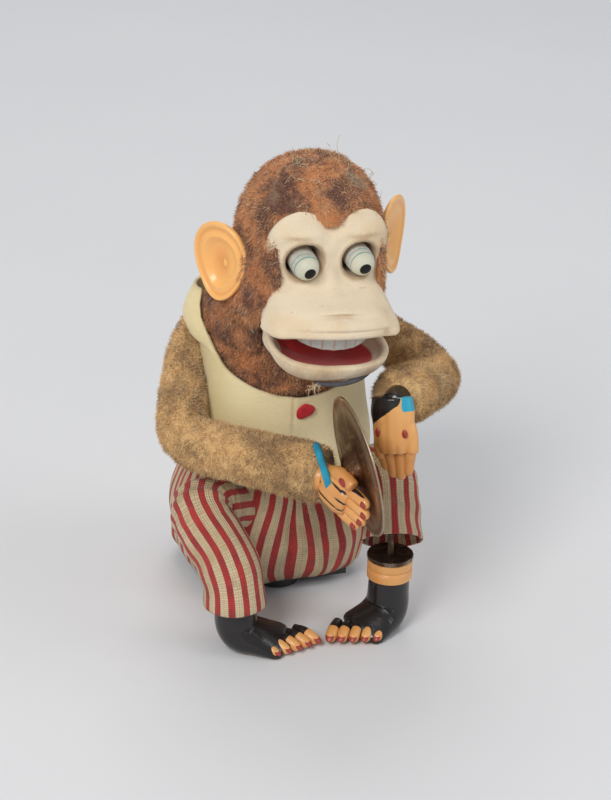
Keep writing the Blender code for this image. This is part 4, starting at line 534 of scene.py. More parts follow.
cloth_light = {"bump": 0.0004, "Sheen_Weight": 0.1}
seat_ticking = finish_of("ticking_seat", ticking_recipe(37.0, 75.0), 0.9, **cloth_light)
leg_ticking = finish_of("ticking_leg", ticking_recipe(13.0, 90.0), 0.9, **cloth_light)
print("fabrics:", head_fur.name, arm_fur.name, flock.name, felt.name)

# %% [markdown]
# ## Vinyl, paint and metal
# Hands, feet, ears and collars were cast in tan vinyl and painted: black over the feet, red on the
# nails. The dark between the fingers and toes and at the left wrist is painted shade. The cymbal is
# thin brass gone brown, with a painted highlight along its rim.

# %% Hard finishes
def vinyl_recipe(place, uv, mark):
    """Tan vinyl under chipped paint: nail red and cuff blue where the marks say so; black where the
    dark mark says so, which is black paint on the feet and painted shade between the fingers and
    toes and at the left wrist.
    """
    base = blend_of(place.noise(30.0, 3.0).step(0.3, 0.7), (0.80, 0.41, 0.14), (0.66, 0.28, 0.075))
    worn = blend_of(place.noise(160.0, 4.0, 0.7).step(0.60, 0.75) * 0.4, base, (0.45, 0.20, 0.08))
    chips = place.noise(230.0, 5.0, 0.75)
    black = (mark("dark") + (chips - 0.5) * 0.55).step(0.42, 0.58)
    painted = blend_of(black, worn, (0.013, 0.011, 0.011))
    red = (mark("nail") + (chips - 0.5) * 0.3).step(0.40, 0.6)
    blue = (mark("blue") + (chips - 0.5) * 0.5).step(0.42, 0.58)
    coloured = blend_of(blue, blend_of(red, painted, (0.34, 0.034, 0.022)), (0.02, 0.36, 0.52))
    rough = 0.30 + place.noise(120.0, 3.0) * 0.22 - black * 0.20
    return {"Base Color": coloured, "Roughness": rough, "height": place.noise(350.0, 3.0)}


vinyl = finish_of("painted_vinyl", vinyl_recipe, 0.4, bump=0.00015, Coat_Weight=0.15)


def ear_recipe(place, uv, mark):
    """Orange vinyl, darker in the hollow and along the ridge inside the rim: painted shade."""
    base = blend_of(mark("soil"), (0.95, 0.50, 0.155), (0.78, 0.30, 0.07))
    marks = place.noise(140.0, 4.0, 0.7).step(0.62, 0.74) * 0.25
    return {"Base Color": blend_of(marks, base, (0.50, 0.22, 0.08)),
            "Roughness": 0.26 + place.noise(90.0, 3.0) * 0.18, "height": place.noise(260.0, 2.0)}


ear_vinyl = finish_of("orange_vinyl", ear_recipe, 0.35, bump=0.0001, Coat_Weight=0.2,
                      Subsurface_Weight=0.12, Subsurface_Scale=0.004)


def metal_recipe(light, dark, low, high):
    """Metal from light to dark and rough where a noise passes from low to high."""
    def recipe(place, uv, mark):
        age = place.noise(110.0, 5.0, 0.65, 0.6).step(low, high)
        return {"Base Color": blend_of(age, light, dark), "Roughness": 0.24 + age * 0.34,
                "height": place.noise(700.0, 3.0)}
    return recipe


steel = finish_of("worn_steel", metal_recipe((0.58, 0.57, 0.55), (0.20, 0.165, 0.13), 0.42, 0.75),
                  0.35, 1.0, 0.00008)
brass = finish_of("brass", metal_recipe((0.78, 0.58, 0.28), (0.34, 0.22, 0.10), 0.45, 0.75),
                  0.35, 1.0, 0.00008)
rust = finish_of("rusty_steel",
                 metal_recipe((0.30, 0.24, 0.19), (0.085, 0.048, 0.030), 0.30, 0.62),
                 0.45, 1.0, 0.0001)


def cymbal_recipe(place, uv, mark):
    """Brass browned in clouds, with red-brown spots and a painted highlight along the rim."""
    from_rim = mark("rim")
    cloud = place.noise(85.0, 5.0, 0.7, 0.8)
    rings = place.noise(1100.0, 1.0) * 0.15
    age = (cloud + rings).step(0.36, 0.62)
    old = blend_of(age, (0.52, 0.31, 0.17), (0.13, 0.062, 0.032))
    spots = place.noise(260.0, 4.0, 0.7).step(0.58, 0.70)
    spotted = blend_of(spots * 0.6, old, (0.30, 0.12, 0.05))
    return {"Base Color": blend_of(from_rim * 0.8, spotted, (0.62, 0.52, 0.38)),
            "Roughness": 0.22 + age * 0.22, "height": cloud + rings * 2.0}


cymbal_metal = finish_of("tarnished_brass", cymbal_recipe, 0.3, 1.0, 0.0002)


def plain(name, first, second, scale, roughness, bump=0.0001):
    """A finish in two shades of one colour, mixed by a noise."""
    def recipe(place, uv, mark):
        return {"Base Color": blend_of(place.noise(scale, 4.0, 0.65).step(0.3, 0.7), first, second),
                "height": place.noise(scale * 8, 3.0)}
    return finish_of(name, recipe, roughness, bump=bump)


black_plastic = plain("black_plastic", (0.018, 0.018, 0.02), (0.045, 0.043, 0.042), 60.0, 0.42)
grey_plastic = plain("grey_plastic", (0.32, 0.33, 0.34), (0.25, 0.25, 0.25), 40.0, 0.5)
nylon = plain("nylon", (0.82, 0.80, 0.72), (0.72, 0.68, 0.58), 50.0, 0.45)
blue_felt = plain("blue_felt", (0.02, 0.36, 0.53), (0.015, 0.24, 0.38), 120.0, 0.85, 0.0004)
red_felt = plain("red_button", (0.62, 0.02, 0.03), (0.45, 0.015, 0.02), 150.0, 0.7, 0.0003)
grey_felt = plain("grey_strip", (0.085, 0.085, 0.095), (0.05, 0.05, 0.06), 120.0, 0.85, 0.0003)
loose_thread = plain("loose_thread", (0.62, 0.52, 0.36), (0.45, 0.34, 0.2), 200.0, 0.85)


def tooth_recipe(place, uv, mark):
    """Greyed white with pink gaps."""
    base = blend_of(place.noise(80.0, 3.0).step(0.3, 0.7), (0.56, 0.55, 0.50), (0.46, 0.44, 0.39))
    return {"Base Color": blend_of(mark("gap") * 0.7, base, (0.55, 0.26, 0.22)),
            "height": place.noise(400.0, 3.0)}


def eye_recipe(place, uv, mark):
    """Soiled nylon with two worn green lines and a black pupil."""
    grime = place.noise(120.0, 5.0, 0.7).step(0.40, 0.75)
    base = blend_of(grime * 0.6, (0.62, 0.59, 0.51), (0.38, 0.365, 0.32))
    front = blend_of(mark("along").step(0.60, 0.70) * 0.6, base, (0.62, 0.62, 0.46))
    worn = (mark("line") - (place.noise(160.0, 4.0, 0.7) - 0.42) * 1.4).step(0.35, 0.65)
    lined = blend_of(worn * 0.75, front, (0.14, 0.36, 0.30))
    return {"Base Color": blend_of(mark("pupil"), lined, (0.006, 0.005, 0.005)),
            "Roughness": 0.48 - mark("pupil") * 0.32, "height": place.noise(420.0, 3.0)}


tooth = finish_of("tooth_nylon_worn", tooth_recipe, 0.4, bump=0.0001)
eye_paint = finish_of("eye_nylon_painted", eye_recipe, 0.4, bump=0.00015, Specular_IOR_Level=0.25)


by_slot = {"black_plastic": black_plastic, "steel": steel, "brass": brass, "nylon": nylon,
           "grey_plastic": grey_plastic, "red_paint": red_felt, "vinyl": vinyl,
           "blue_felt": blue_felt, "cymbal_brass": cymbal_metal}
named = 0
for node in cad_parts.values():
    for slot in node.material_slots:
        base_name = slot.material.name.split(".")[0] if slot.material else ""
        if base_name in by_slot:
            slot.material = by_slot[base_name]
            named += 1
for name in ("right_leg_rod", "left_leg_rod"):
    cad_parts[name].material_slots[0].material = rust
print("slots of shown CAD nodes repainted:", named)

# %% [markdown]
# ## Head cover
# On the toy this is one sewn plush cap over a hard skull, open in front for the mask. It could
# be a sculpted form or a grown shell. Ovals at heights are used, since the cap is nearly turned
# and the ovals can be pushed in behind the mask, where the eyes and the jaw move.

# %% Ovals and the plush head
MM = 0.001


def ovals(rows, sides, power=2.3):
    """Rings at heights: x = w * sgn(cos a) |cos a|^(2/p), y = middle + d * sgn(sin a) |sin a|^(2/p)
    for rows of (height, half width w, middle, half depth d) in millimetres."""
    a = circle(sides)
    c, s = boxy(np.cos(a), 2 / power), boxy(np.sin(a), 2 / power)
    z, w, middle, d = (np.asarray(rows).T[k][:, None] for k in range(4))
    return np.stack([w * c, middle + d * s, z + 0 * c], -1) * MM


head_rows = through([(150.5, 26, -26, 28), (152.5, 34, -24, 35), (158, 40.8, -20.5, 38.0),
                     (165, 41.2, -22, 38), (173, 41.6, -27, 39), (182, 40.8, -40, 38.5),
                     (190, 39.4, -50, 38.5), (201, 37.7, -56, 38), (217, 36.9, -57, 36.5),
                     (234, 34.0, -57.5, 35), (247, 28.0, -58, 29.8),
                     (256, 19.0, -58.5, 20.5), (260.6, 9.0, -59, 9.5), (261.6, 1.0, -59, 1.0)], 96)
rings = ovals(head_rows, 104)
x, y, z = np.moveaxis(rings / MM, -1, 0)
middle = ease(26.5 - np.abs(x), 0, 3)
peak = ease(13 - np.abs(x), 0, 12)
lower = 3.5 * ease(-x, 4, 28)
brow = (1 - peak) * ease(z + lower, 232, 243) + peak * ease(z, 228, 236)
cheek = ease(z, 190, 200) * ease(238 - z, 0, 10)
front = (-80 - 13.5 * brow - 8.5 * cheek * (1 - middle) * (1 - brow)
         + 27 * middle * (1 - ease(z, 226, 233)) + 3 * (1 - ease(z, 182, 197)))
hidden = y < front + 0.8
y = np.maximum(y, front)
corner = 29 + 2.5 * (1 - ease(z, 182, 192))
y = y - (5.5 * bell(np.abs(x), corner, 4.5) * ease(z, 166, 174) * ease(238 - z, 0, 10)
         * ease(-y, 52, 64))
x = x + 1.8 * ease(z, 215, 262) + 0.6 * lumps(rings, 0.03, 5)
rings = np.stack([x, y, z], -1) * MM
head_cover = dress(skin("head_cover", rings), head_fur)
local = np.random.default_rng(77)
flat = rings.reshape(-1, 3)
crown = flat[(flat[:, 1] < -0.055) & (flat[:, 2] > 0.236) & ~hidden.ravel()]
worn = crown[(np.abs(crown[:, 0] - 0.020) < 0.010) | (np.abs(crown[:, 0] + 0.012) < 0.006)]
threads = []
for k in range(48):
    start = worn[local.integers(len(worn))]
    away = unit(start - [0, -0.057, 0.215])
    t = np.linspace(0, 1, 14)[:, None]
    sideways = local.normal(size=3) * 0.0035
    curl = np.sin(t * local.uniform(3, 8) + k) * local.normal(size=3) * 0.0014
    way = start + away * (0.0008 + 0.0022 * t * (1.3 - t)) + sideways * t + 0.6 * curl
    threads.append(weave(tube(way, 0.00012, 5)))
crown_threads = dress(add("crown_threads", threads), loose_thread)
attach(crown_threads, "head")
head_pile = pile("head_pile", rings, 62000, 0.0028, 0.00028, head_fur, (0, 0, -0.9), 11,
                 density=1.0 - hidden)
for thing in (head_cover, head_pile):
    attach(thing, "head")
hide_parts("head_plush")
print("head cover", len(head_cover.data.polygons), "pile", len(head_pile.data.polygons))

# %% [markdown]
# ## Mask
# The real face is one moulded shell with a flocked skin: two brow lobes, deep round sockets, a
# broad muzzle with one crease, and a rolled upper lip that ends in two knobs. One grid over the
# width and the height of the face carries all of it, so the flock runs unbroken.

# %% The flocked mask
ROLL_OF_FACE, ROLL_HEIGHT = 0.0436, 0.205
TILT_OF_MOUTH = 0.034
SOCKET_X, SOCKET_SHIFT, SOCKET_Z = 14.6, 0.6, 216.8
TAIL_RINGS = 6


def rolled(points):
    """The face sits turned in its plane: z -= x * t, x += (z - height) * t."""
    out = points.copy()
    out[..., 2] -= points[..., 0] * ROLL_OF_FACE
    out[..., 0] += (points[..., 2] - ROLL_HEIGHT) * ROLL_OF_FACE
    return out


def bump_at(px, pz, x, z, wide, high):
    """1 at (px, pz) of a face seen from the front, falling to 0 over wide and high."""
    return bell(x, px, wide) * bell(z, pz, high)


sections = through([(240.0, 17.5, -90, -88.5), (238.3, 23.5, -90.8, -86.5),
                    (235, 28.0, -91.5, -84.5), (230.5, 30.8, -91.8, -82.5),
                    (225, 31.9, -91.5, -81.2), (217, 31.5, -90, -80.5), (210, 30.3, -90, -80),
                    (204, 29.0, -94, -79.5), (199, 30.5, -102, -79), (194, 33.6, -110.5, -79),
                    (189, 36.2, -114.5, -79), (184.5, 36.9, -115.0, -79)], 150)
u = np.linspace(-1, 1, 181)
turn = np.pi * u[None] / 2
z, half, front, edge = (sections.T[k][:, None] for k in range(4))
x = half * np.sin(turn)
muzzle = ease(205 - z, 0, 12)
y = edge - (edge - front) * np.cos(turn) ** (0.55 + 0.05 * muzzle)
z = z + 0 * x
lift = (2.6 * bell(np.abs(x), 16, 10) - 5.6 * bell(x, 0, 7.5)
        - 1.0 * ease(np.abs(x), 26, 32))
z = z + lift * ease(z, 214, 236)
# Relief, as (how far out, x, height, width, depth, sag of its line): the brow lobes, the dip
# between them, the ridge of the nose, the crease, the rolls over and under it, the lip's line
relief = ((2.2, -15.5, 230, 11, 4.5, 0), (2.2, 15.5, 230, 11, 4.5, 0), (-2.2, 0, 236, 5, 7, 0),
          (2.6, 0, 212, 5, 12, 0), (-2.4, 0, 193.8, 13, 1.1, 0.004),
          (1.8, 0, 196.4, 17, 1.9, 0.002), (1.2, 0, 189.8, 22, 2.4, 0.002),
          (-0.8, 4, 187, 24, 0.8, 0))
for out, px, pz, wide, high, sag in relief:
    y -= out * bump_at(px, pz, x, z + sag * x ** 2, wide, high)
z = z - 2.4 * (np.abs(x) / 36) ** 3 * ease(202 - z, 0, 14)
x = x - 3.4 * np.sign(x) * ease(y, -90, -80) * ease(204 - z, 0, 14)
knob = bump_at(-33, 183.5, x, z, 5.5, 4.6) + bump_at(33, 183.5, x, z, 5.5, 4.6)
y -= 3.6 * knob
x = x + 0.9 * np.sign(x) * knob
swing = ease(206 - z, 0, 16)
z = z - TILT_OF_MOUTH * x * swing
x = x * (1 - 0.022 * swing) + 1.3 * swing
# The flock is darker round the sockets, along the brows, in the crease over the lip, at the sides
# and in two spots: soil, and painted shade in the sockets and the crease.
soil = np.zeros_like(x)
for side in (-1, 1):
    far = np.hypot(x - side * SOCKET_X - SOCKET_SHIFT, z - SOCKET_Z)
    y -= 1.2 * bell(far, 10.6, 2.0)
    y += 21.0 * (1 - ease(far, 7.7, 9.4))
    soil += 1.1 * bell(far, 9.0, 2.2)
    soil += 0.7 * bump_at(side * 17, 229.5, x, z, 9, 1.6)
soil += 0.45 * bump_at(0, 193.6, x, z + 0.004 * x ** 2, 13, 1.0)
soil += 0.6 * bump_at(26, 184.5, x, z, 5, 3)
soil += 0.30 * ease(np.abs(x), 27, 31) * (z > 200) + 0.25 * bump_at(2, 203, x, z, 9, 9)
shape = np.stack([x, y, z], -1)
under = [shape[-1:] - [0, 0, 0.9 + 0.9 * math.sin(k / 2)]
         - (shape[-1:] - [0, -85, 0]) * [1, 1, 0] * (0.022 * k ** 1.3)
         for k in range(1, TAIL_RINGS + 1)]
shape = np.concatenate([shape, *under])
soil = np.concatenate([soil, *[soil[-1:] * 0.4] * TAIL_RINGS])
mask = dress(skin("mask", rolled(shape * MM), closed=False, soil=clamp(soil)), flock, thick(0.0014))
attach(mask, "head")
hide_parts("face_mask")
print("mask", len(mask.data.polygons))

# %% [markdown]
# ## Jaw
# The lower jaw is a moulded half cup hung on a pin by the cheeks: flocked outside and along a
# broad inner lip, painted red further in. A cup whose rim is cut by a plane is turned in angle
# and depth; the inside wall is the same cup made smaller.

# %% The jaw and its lining
half_edge = [(26.5, -65), (28.0, -71), (29.8, -78), (31.6, -85.5), (30.2, -93), (24.0, -99.8),
             (12.5, -103.8)]
front_edge = through(half_edge + [(0, -104.8)] + [(-wide, y) for wide, y in half_edge[::-1]], 400)
outline = evenly(np.concatenate([front_edge, [(0, -64.5), (26.5, -65)]]), 181)[:-1]
depth = np.linspace(0, 1, 34)[:, None]
JAW_YAW, JAW_MIDDLE, JAW_FLOOR = 0.11, -82.0, 151.0
RIM_HEIGHT, RIM_SLOPE, RIM_BACK, RIM_TOP = 179.6, 0.40, -62.5, 173.5


def cup(inset, top, rise=0.0):
    """Rings from the rim down: plan = centre + (outline - centre) * cos(b)^0.72, height = rim
    - (rim - floor) * sin(b)^1.3, the rim on the plane RIM_HEIGHT - RIM_SLOPE * (RIM_BACK - y)."""
    b = depth * (np.pi / 2 - 0.02)
    spokes = outline - [0, JAW_MIDDLE]
    far = np.linalg.norm(spokes, axis=1)[:, None]
    plan = (spokes * ((far - inset) / far))[None]
    keep = np.cos(b) ** 0.72
    px, py = plan[..., 0] * keep, JAW_MIDDLE + plan[..., 1] * keep
    rim_y = JAW_MIDDLE + plan[..., 1]
    rim = np.minimum(RIM_HEIGHT - RIM_SLOPE * (RIM_BACK - rim_y), RIM_TOP) + top
    rim = rim - 9 * ease(rim_y, -67.5, -65.2)
    pz = rim - (rim - (JAW_FLOOR + inset + rise)) * np.sin(b) ** 1.3
    shift = 1.9 + JAW_YAW * np.maximum(-72 - py, 0)
    return np.stack([px + shift, py, pz - TILT_OF_MOUTH * px], -1)


outer, inner = cup(0.0, 0.0), cup(4.2, -1.2, 4.2)
lip = np.linspace(0, 1, 6)[1:-1, None, None]
roll_over = (1 - lip) * inner[:1] + lip * outer[:1]
roll_over[..., 2] += 1.3 * np.sin(np.pi * lip[..., 0])
wall = np.concatenate([inner[::-1], roll_over, outer])
count = len(inner)
down = np.concatenate([np.linspace(1, 0, count), np.zeros(len(wall) - count)])[:, None]
red = np.broadcast_to(ease(down, 0.36, 0.42), wall.shape[:2])
# The flock is darker just inside the rim, over the outside and in a spot low on one side: soil, and
# painted shade inside the mouth's rim.
soil = 0.45 * bell(down, 0.06, 0.1) + 0.35 * bump_at(20, 155, wall[..., 0], wall[..., 2], 12, 8)
jaw = dress(skin("jaw", rolled(wall * MM), red=red, soil=clamp(soil)), flock)
t = np.linspace(-1, 1, 41)
strip_path = np.stack([9.0 + 15.0 * t, -101.0 + 4.6 * t ** 2 + 0.8 * t,
                       153.6 + 1.4 * t ** 2 + 1.6 * t], -1)
strip = tube(rolled(strip_path * MM), 0.0013 * (1 - 0.5 * np.abs(t) ** 6), 12)
strip_piece = dress(skin("jaw_strip", strip), grey_felt)
threads = []
local = np.random.default_rng(21)
for k in range(16):
    start = np.array([-5.5 + local.normal() * 2.2, -98.5 + local.normal() * 1.0, 153.2])
    reach = local.normal(size=3) * [2.6, 2.0, 1.6] + [-0.5, -1.4, -3.4]
    s = np.linspace(0, 1, 12)[:, None]
    way = start + reach * s + np.sin(s * 5 + k) * local.normal(size=3) * 0.7
    threads.append(weave(tube(rolled(way * MM), 0.00016, 5)))
thread_piece = dress(add("jaw_threads", threads), loose_thread)
for thing in (jaw, strip_piece, thread_piece):
    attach(thing, "jaw")
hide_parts("lower_jaw", "jaw_lining")
print("jaw", len(jaw.data.polygons))

# %% [markdown]
# ## Teeth
# One moulded bar of upper teeth with pinkish gaps, bowed forward under the lip. The bar follows
# a bow, and a rounded wave along it makes the single teeth.

# %% The upper teeth
BOW = 1.25
t = np.linspace(-1, 1, 241)[:, None]
ring = circle(28)
across, drop = boxy(np.cos(ring), 0.6), boxy(np.sin(ring), 0.55)
wave = np.abs(np.sin(np.pi * (t * 4.5 + 0.5)))
swell = (1.5 + 0.8 * wave ** 0.35) * across
length = 12.4 - 3.4 * np.abs(t) ** 2.2
px = 3.6 + 19.0 * np.sin(t * BOW) / math.sin(BOW)
py = -88.0 - 13.2 * (np.cos(t * BOW) - math.cos(BOW)) / (1 - math.cos(BOW))
pz = 185.0 - 0.5 * length + 0.5 * length * drop - 0.5 * (1 - wave ** 0.5) * (drop < 0)
bar = np.stack([px + np.sin(t * BOW) * swell, py - np.cos(t * BOW) * swell, pz], -1)
gap = clamp(1 - ease(wave, 0.10, 0.42) + 0.5 * ease(drop, 0.3, 0.9))
teeth = dress(skin("teeth_bar", rolled(bar * MM), gap=gap), tooth)
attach(teeth, "head")
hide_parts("teeth")
t = np.linspace(-1, 1, 41)[None]
back_z = np.linspace(161, 190, 24)[:, None]
back_wall = np.broadcast_arrays(3.0 + 21.5 * np.sin(t * 1.35), -69.5 + 2.5 * t ** 2, back_z)
throat = dress(skin("mouth_back", rolled(np.stack(back_wall, -1) * MM), closed=False),
               red_felt, thick(0.001))
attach(throat, "head")
print("teeth", len(teeth.data.polygons))

# %% [markdown]
# ## Eyes
# Each eye is a turned nylon barrel with two thin painted lines, a rounded end and a black pupil
# dot, and it slides out of its socket. A turned profile along the eye's axis gives all of it.

# %% The two eyes
profile = through([(-8.5, 5.9), (-8.0, 6.8), (-2.0, 7.0), (3.4, 7.0), (4.2, 6.9), (4.6, 6.45),
                   (5.1, 6.8), (7.4, 6.7), (7.8, 6.25), (8.3, 6.4), (9.8, 5.9), (11.2, 5.0),
                   (12.4, 3.6), (13.1, 2.4), (13.4, 1.2), (13.5, 0.2)], 110)
EYE_DIP = math.radians(12)
for side, name in ((-1, "right_eye"), (1, "left_eye")):
    rest = np.array([side * 14.5 + 0.6, -86.2, 216.6 + 0.5 * side])
    axis = np.array([0.05 + 0.03 * side, -math.cos(EYE_DIP), -math.sin(EYE_DIP)])
    path = rest + profile[:, :1] * axis
    rings = tube(path * MM, profile[:, 1] * MM, 56, (1, 0, 0))
    along = profile[:, :1] + 0 * rings[..., 0]
    off = rings / MM - path[:, None] - (side * -0.3, 0, -0.4)
    pupil = (along > 9.0) * (1 - ease(np.linalg.norm(off, axis=-1), 2.9, 3.2))
    line = bell(along, 4.7, 0.55) + bell(along, 7.9, 0.50)
    eye = dress(skin(f"{name}_barrel", rolled(rings), pupil=pupil, line=clamp(line),
                     along=along / 13), eye_paint)
    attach(eye, "eyes")
    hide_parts(name)
print("eyes done")

# %% [markdown]
# ## Ears
# Soft orange vinyl ears: an oval plate with a rolled rim, a dished hollow and a short stem. A
# plate like this is a stack of scaled outlines from the hollow over the rim to the back.

# %% The two ears
profile = through([(0.02, -0.4), (0.25, -0.3), (0.45, 0.2), (0.58, 1.7), (0.66, 2.5), (0.74, 1.9),
                   (0.82, 1.7), (0.90, 2.5), (0.96, 2.6), (1.0, 1.4), (0.99, 0.0), (0.93, -1.2),
                   (0.75, -1.8), (0.45, -2.2), (0.20, -2.3), (0.02, -2.3)], 84)
share, lift = profile[:, :1], profile[:, 1:]
a = circle(96)
outline = 1 - 0.05 * np.cos(2 * a) + 0.045 * np.sin(3 * a + 0.4) + 0.05 * np.sin(a)
shift = 1.5 * (1 - np.minimum(share, 1)) ** 1.2
fuller = 1 + 0.20 * (np.cos(a) < 0) * np.cos(a) ** 2
wide = 16.4 * share * outline * np.cos(a) * fuller - shift
tall = 20.2 * share * outline * np.sin(a) - 1.2 * (1 - share)
hump = lift + 0.5 * np.sin(2 * a + 0.6) * share ** 3 + 2.0 * (np.abs(tall) / 20) ** 2
hump = hump + 1.2 * bell(wide, -6, 3) * bell(tall, 0, 7) * (share < 0.55) * (lift > -1)
# The hollow and the ridge inside the rim are marked for a darker orange: painted shade.
deep = clamp((1 - share / 0.55) * (lift > -1)) + 0.5 * bell(share, 0.82, 0.05) * (lift > 0)
stem_radii = np.array([4.6, 4.2, 3.8, 3.6, 3.6, 3.4, 3.0, 2.4])
ear_rows = ((-1, 44.2, 206.5, 33, 1.0, "right_ear"), (1, 48.2, 211.8, 41, 0.7, "left_ear"))
for side, middle_x, middle_z, degrees, depth_share, name in ear_rows:
    lean = math.radians(degrees)
    out = np.array([side * math.sin(lean), math.cos(lean)])
    face = np.array([side * math.cos(lean), -math.sin(lean)]) * depth_share
    px = side * middle_x + wide * out[0] + hump * face[0]
    py = -50 + wide * out[1] + hump * face[1]
    pz = middle_z + tall
    stem_way = np.linspace((side * 36.0, -51.5, middle_z - 1.5),
                           (side * (middle_x - 1.0), -51.0, middle_z - 1), 8)
    forms = [weave(np.stack([px, py, pz], -1) * MM, soil=deep + 0 * px),
             weave(tube(stem_way * MM, stem_radii * MM, 24))]
    ear = dress(add(f"{name}_shape", forms), ear_vinyl)
    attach(ear, "head")
    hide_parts(name)
print("ears done")

# %% [markdown]
# ## Neck and vest
# A second piece of the brown plush fills the neck of the vest. The vest is felt cut in one layer
# with a deep round neck, two armholes and a lapped front edge. Both follow ovals at heights. The
# vest's grid is cut off by the neck's ball shape, and opened by a hole where each arm comes out.

# %% The furry neck
neck_rows = through([(127.4, 24, -26, 26), (131, 32.0, -26, 32), (136, 33.4, -26, 32.3),
                     (143, 37.0, -23.5, 34), (151, 39.5, -21, 36), (156, 38.5, -21.5, 35),
                     (158.0, 30, -24, 29)], 40)
rings = ovals(neck_rows, 96, 2.2)
z = rings[..., 2] / MM
angle = np.arctan2(rings[..., 1] + 26 * MM, rings[..., 0])
fold = 0.030 * np.sin(3 * angle + z * 0.16 + 1.2) + 0.022 * np.sin(7 * angle - z * 0.22)
centre = np.array([0, -26 * MM, 0])
rings = centre + (rings - centre) * np.stack([0.98 + fold, 0.98 + fold, 1 + 0 * fold], -1)
neck = dress(skin("neck_cover", rings), head_fur)
neck_pile = pile("neck_pile", rings, 26000, 0.0027, 0.00028, head_fur, (0, 0, -0.8), 31,
                 density=(z > 128.5) * 1.0)
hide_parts("neck_ruff")
for thing in (neck, neck_pile):
    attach(thing, "chassis")
print("neck", len(neck.data.polygons))


# %% The felt vest and its button
def flat_area(rings):
    """Area of a grid of quads, for the flat size of a cloth."""
    ahead = np.roll(rings, -1, 1)
    cross = np.cross(ahead[1:] - rings[:-1], rings[1:] - ahead[:-1])
    return float(np.linalg.norm(cross, axis=-1).sum() / 2)


HEM, VEST_TOP = 75.5, 173.5
ARM_Y, ARM_Z = -4.0, 139.5
BUTTON_HEIGHT = 120.5
vest_rows = np.array([(HEM, 52.2, -9, 46.2), (85.3, 51.2, -11, 46.2), (100.3, 50.2, -12, 45.7),
                      (115.3, 47.8, -13, 45.2), (130.3, 44.6, -14, 42.8), (142, 44.5, -13, 39.5),
                      (152, 46.5, -10, 35.5), (160, 46.5, -6, 29.5), (168, 44.0, -1, 23.5),
                      (VEST_TOP, 40.5, 2, 20)])
sides = 240
a = circle(sides) - np.pi / 2
grid_z = np.linspace(HEM, VEST_TOP, 160)
wide, middle, deep = at_heights(vest_rows, grid_z)
full = ovals(np.stack([grid_z, wide, middle, deep], 1), sides)
full = np.roll(full, 60, 1)
ball = (((full / MM - [0, -30, 170]) / [45.0, 42.5, 56]) ** 2).sum(-1) < 1
first = np.where(ball.any(0), grid_z[np.argmax(ball, 0)], VEST_TOP)
for _ in range(6):
    first = (np.roll(first, 1) + 2 * first + np.roll(first, -1)) / 4
share = np.linspace(0, 1, 110)[:, None]
z = HEM + (first[None] - HEM) * share
row = (z - HEM) / (VEST_TOP - HEM) * 159
low_row = np.minimum(row.astype(int), 158)
part = (row - low_row)[..., None]
column = np.arange(sides)[None]
rings = full[low_row, column] * (1 - part) + full[low_row + 1, column] * part
x, y, z = np.moveaxis(rings / MM, -1, 0)
front = (y < -20) & (np.abs(x) < 40)
lap = 1.1 * ease(x, -6.6, -5.9) * (1 - ease(x, 14, 30)) * front
y = y - lap - 0.6 * lumps(rings, 0.035, 17)
drape = 1.4 * np.sin(z * 0.16 + np.abs(x) * 0.12) * ease(np.abs(x), 18, 40)
x = x * (1 + 0.010 * lumps(rings, 0.045, 19)) + 0.25 * drape * np.sign(x)
x = x + np.sign(x) * 4.5 * ease(z, 146, 150) * (1 - 0.6 * ease(z, 160, 173)) * bell(y, ARM_Y, 17)
hole_y, hole_z = y - ARM_Y, z - ARM_Z
far = np.hypot(hole_y, hole_z)
spread_to = np.where(far < 6.9, 10.0, 10.0 + (far - 6.9) * 9.0 / 12.1)
grow = np.where((far < 19) & (np.abs(x) > 28), spread_to / np.maximum(far, 0.1), 1.0)
y, z = ARM_Y + hole_y * grow, ARM_Z + hole_z * grow
hole = (far < 6.2) & (np.abs(x) > 28)
keep = ~(hole[:-1] & hole[1:] & np.roll(hole, -1, 1)[:-1] & np.roll(hole, -1, 1)[1:])
rings = np.stack([x, y, z], -1) * MM
rim = bell(share, 1, 0.012) + bell(share, 0, 0.012)
# A dark line along the lapped front edge: painted shadow of the lap.
lap_shadow = bell(x, -6.6, 0.7) * front * 0.8
# A yellow-brown patch on the vest's side under the right arm: painted shade.
under_arm = 0.55 * bump_at(-44, 118, x, z, 9, 20) + 0.4 * bump_at(-36, 108, x, z, 14, 14)
edge = clamp(0.8 * rim + lap_shadow + 0 * x)
vest = dress(skin("felt_vest", rings, ends=(False, False), keep=keep, edge=edge,
                  stain=clamp(under_arm)), felt, thick(0.0016))
area = flat_area(rings)
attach(vest, "chassis")
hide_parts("vest")
print("vest area", round(area, 4))

t = circle(64)
lump = 4.7 * (1 + 0.10 * np.sin(2 * t + 0.4) + 0.07 * np.sin(3 * t + 2.0) + 0.03 * np.sin(5 * t))
front_line = rings[:, np.argmin(rings[0, :, 1])] / MM
spot_y = float(np.interp(BUTTON_HEIGHT, front_line[:, 2], front_line[:, 1]))
size, out = np.array([(0.01, 0.2), (0.75, 0.2), (0.97, 0.5), (1.0, 0.9), (0.9, 1.5), (0.6, 1.75),
                      (0.3, 1.85), (0.01, 1.85)]).T[..., None]
px, pz = 1.05 * size * lump * np.cos(t), size * lump * np.sin(t)
button_rows = np.stack([px, spot_y - 0.3 - out - 0.06 * pz, BUTTON_HEIGHT + 0.92 * pz], -1)
button = dress(skin("red_button", button_rows * MM), red_felt)
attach(button, "chassis")
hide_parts("vest_button")
print("button at", round(spot_y, 1))

# %% [markdown]
# ## Sleeves
# Each arm is one plush tube over a bent wire, thin at the shoulder, fuller at the elbow and the
# forearm. A tube along a bent path with its own radii gives that, with soft creases at the elbow.

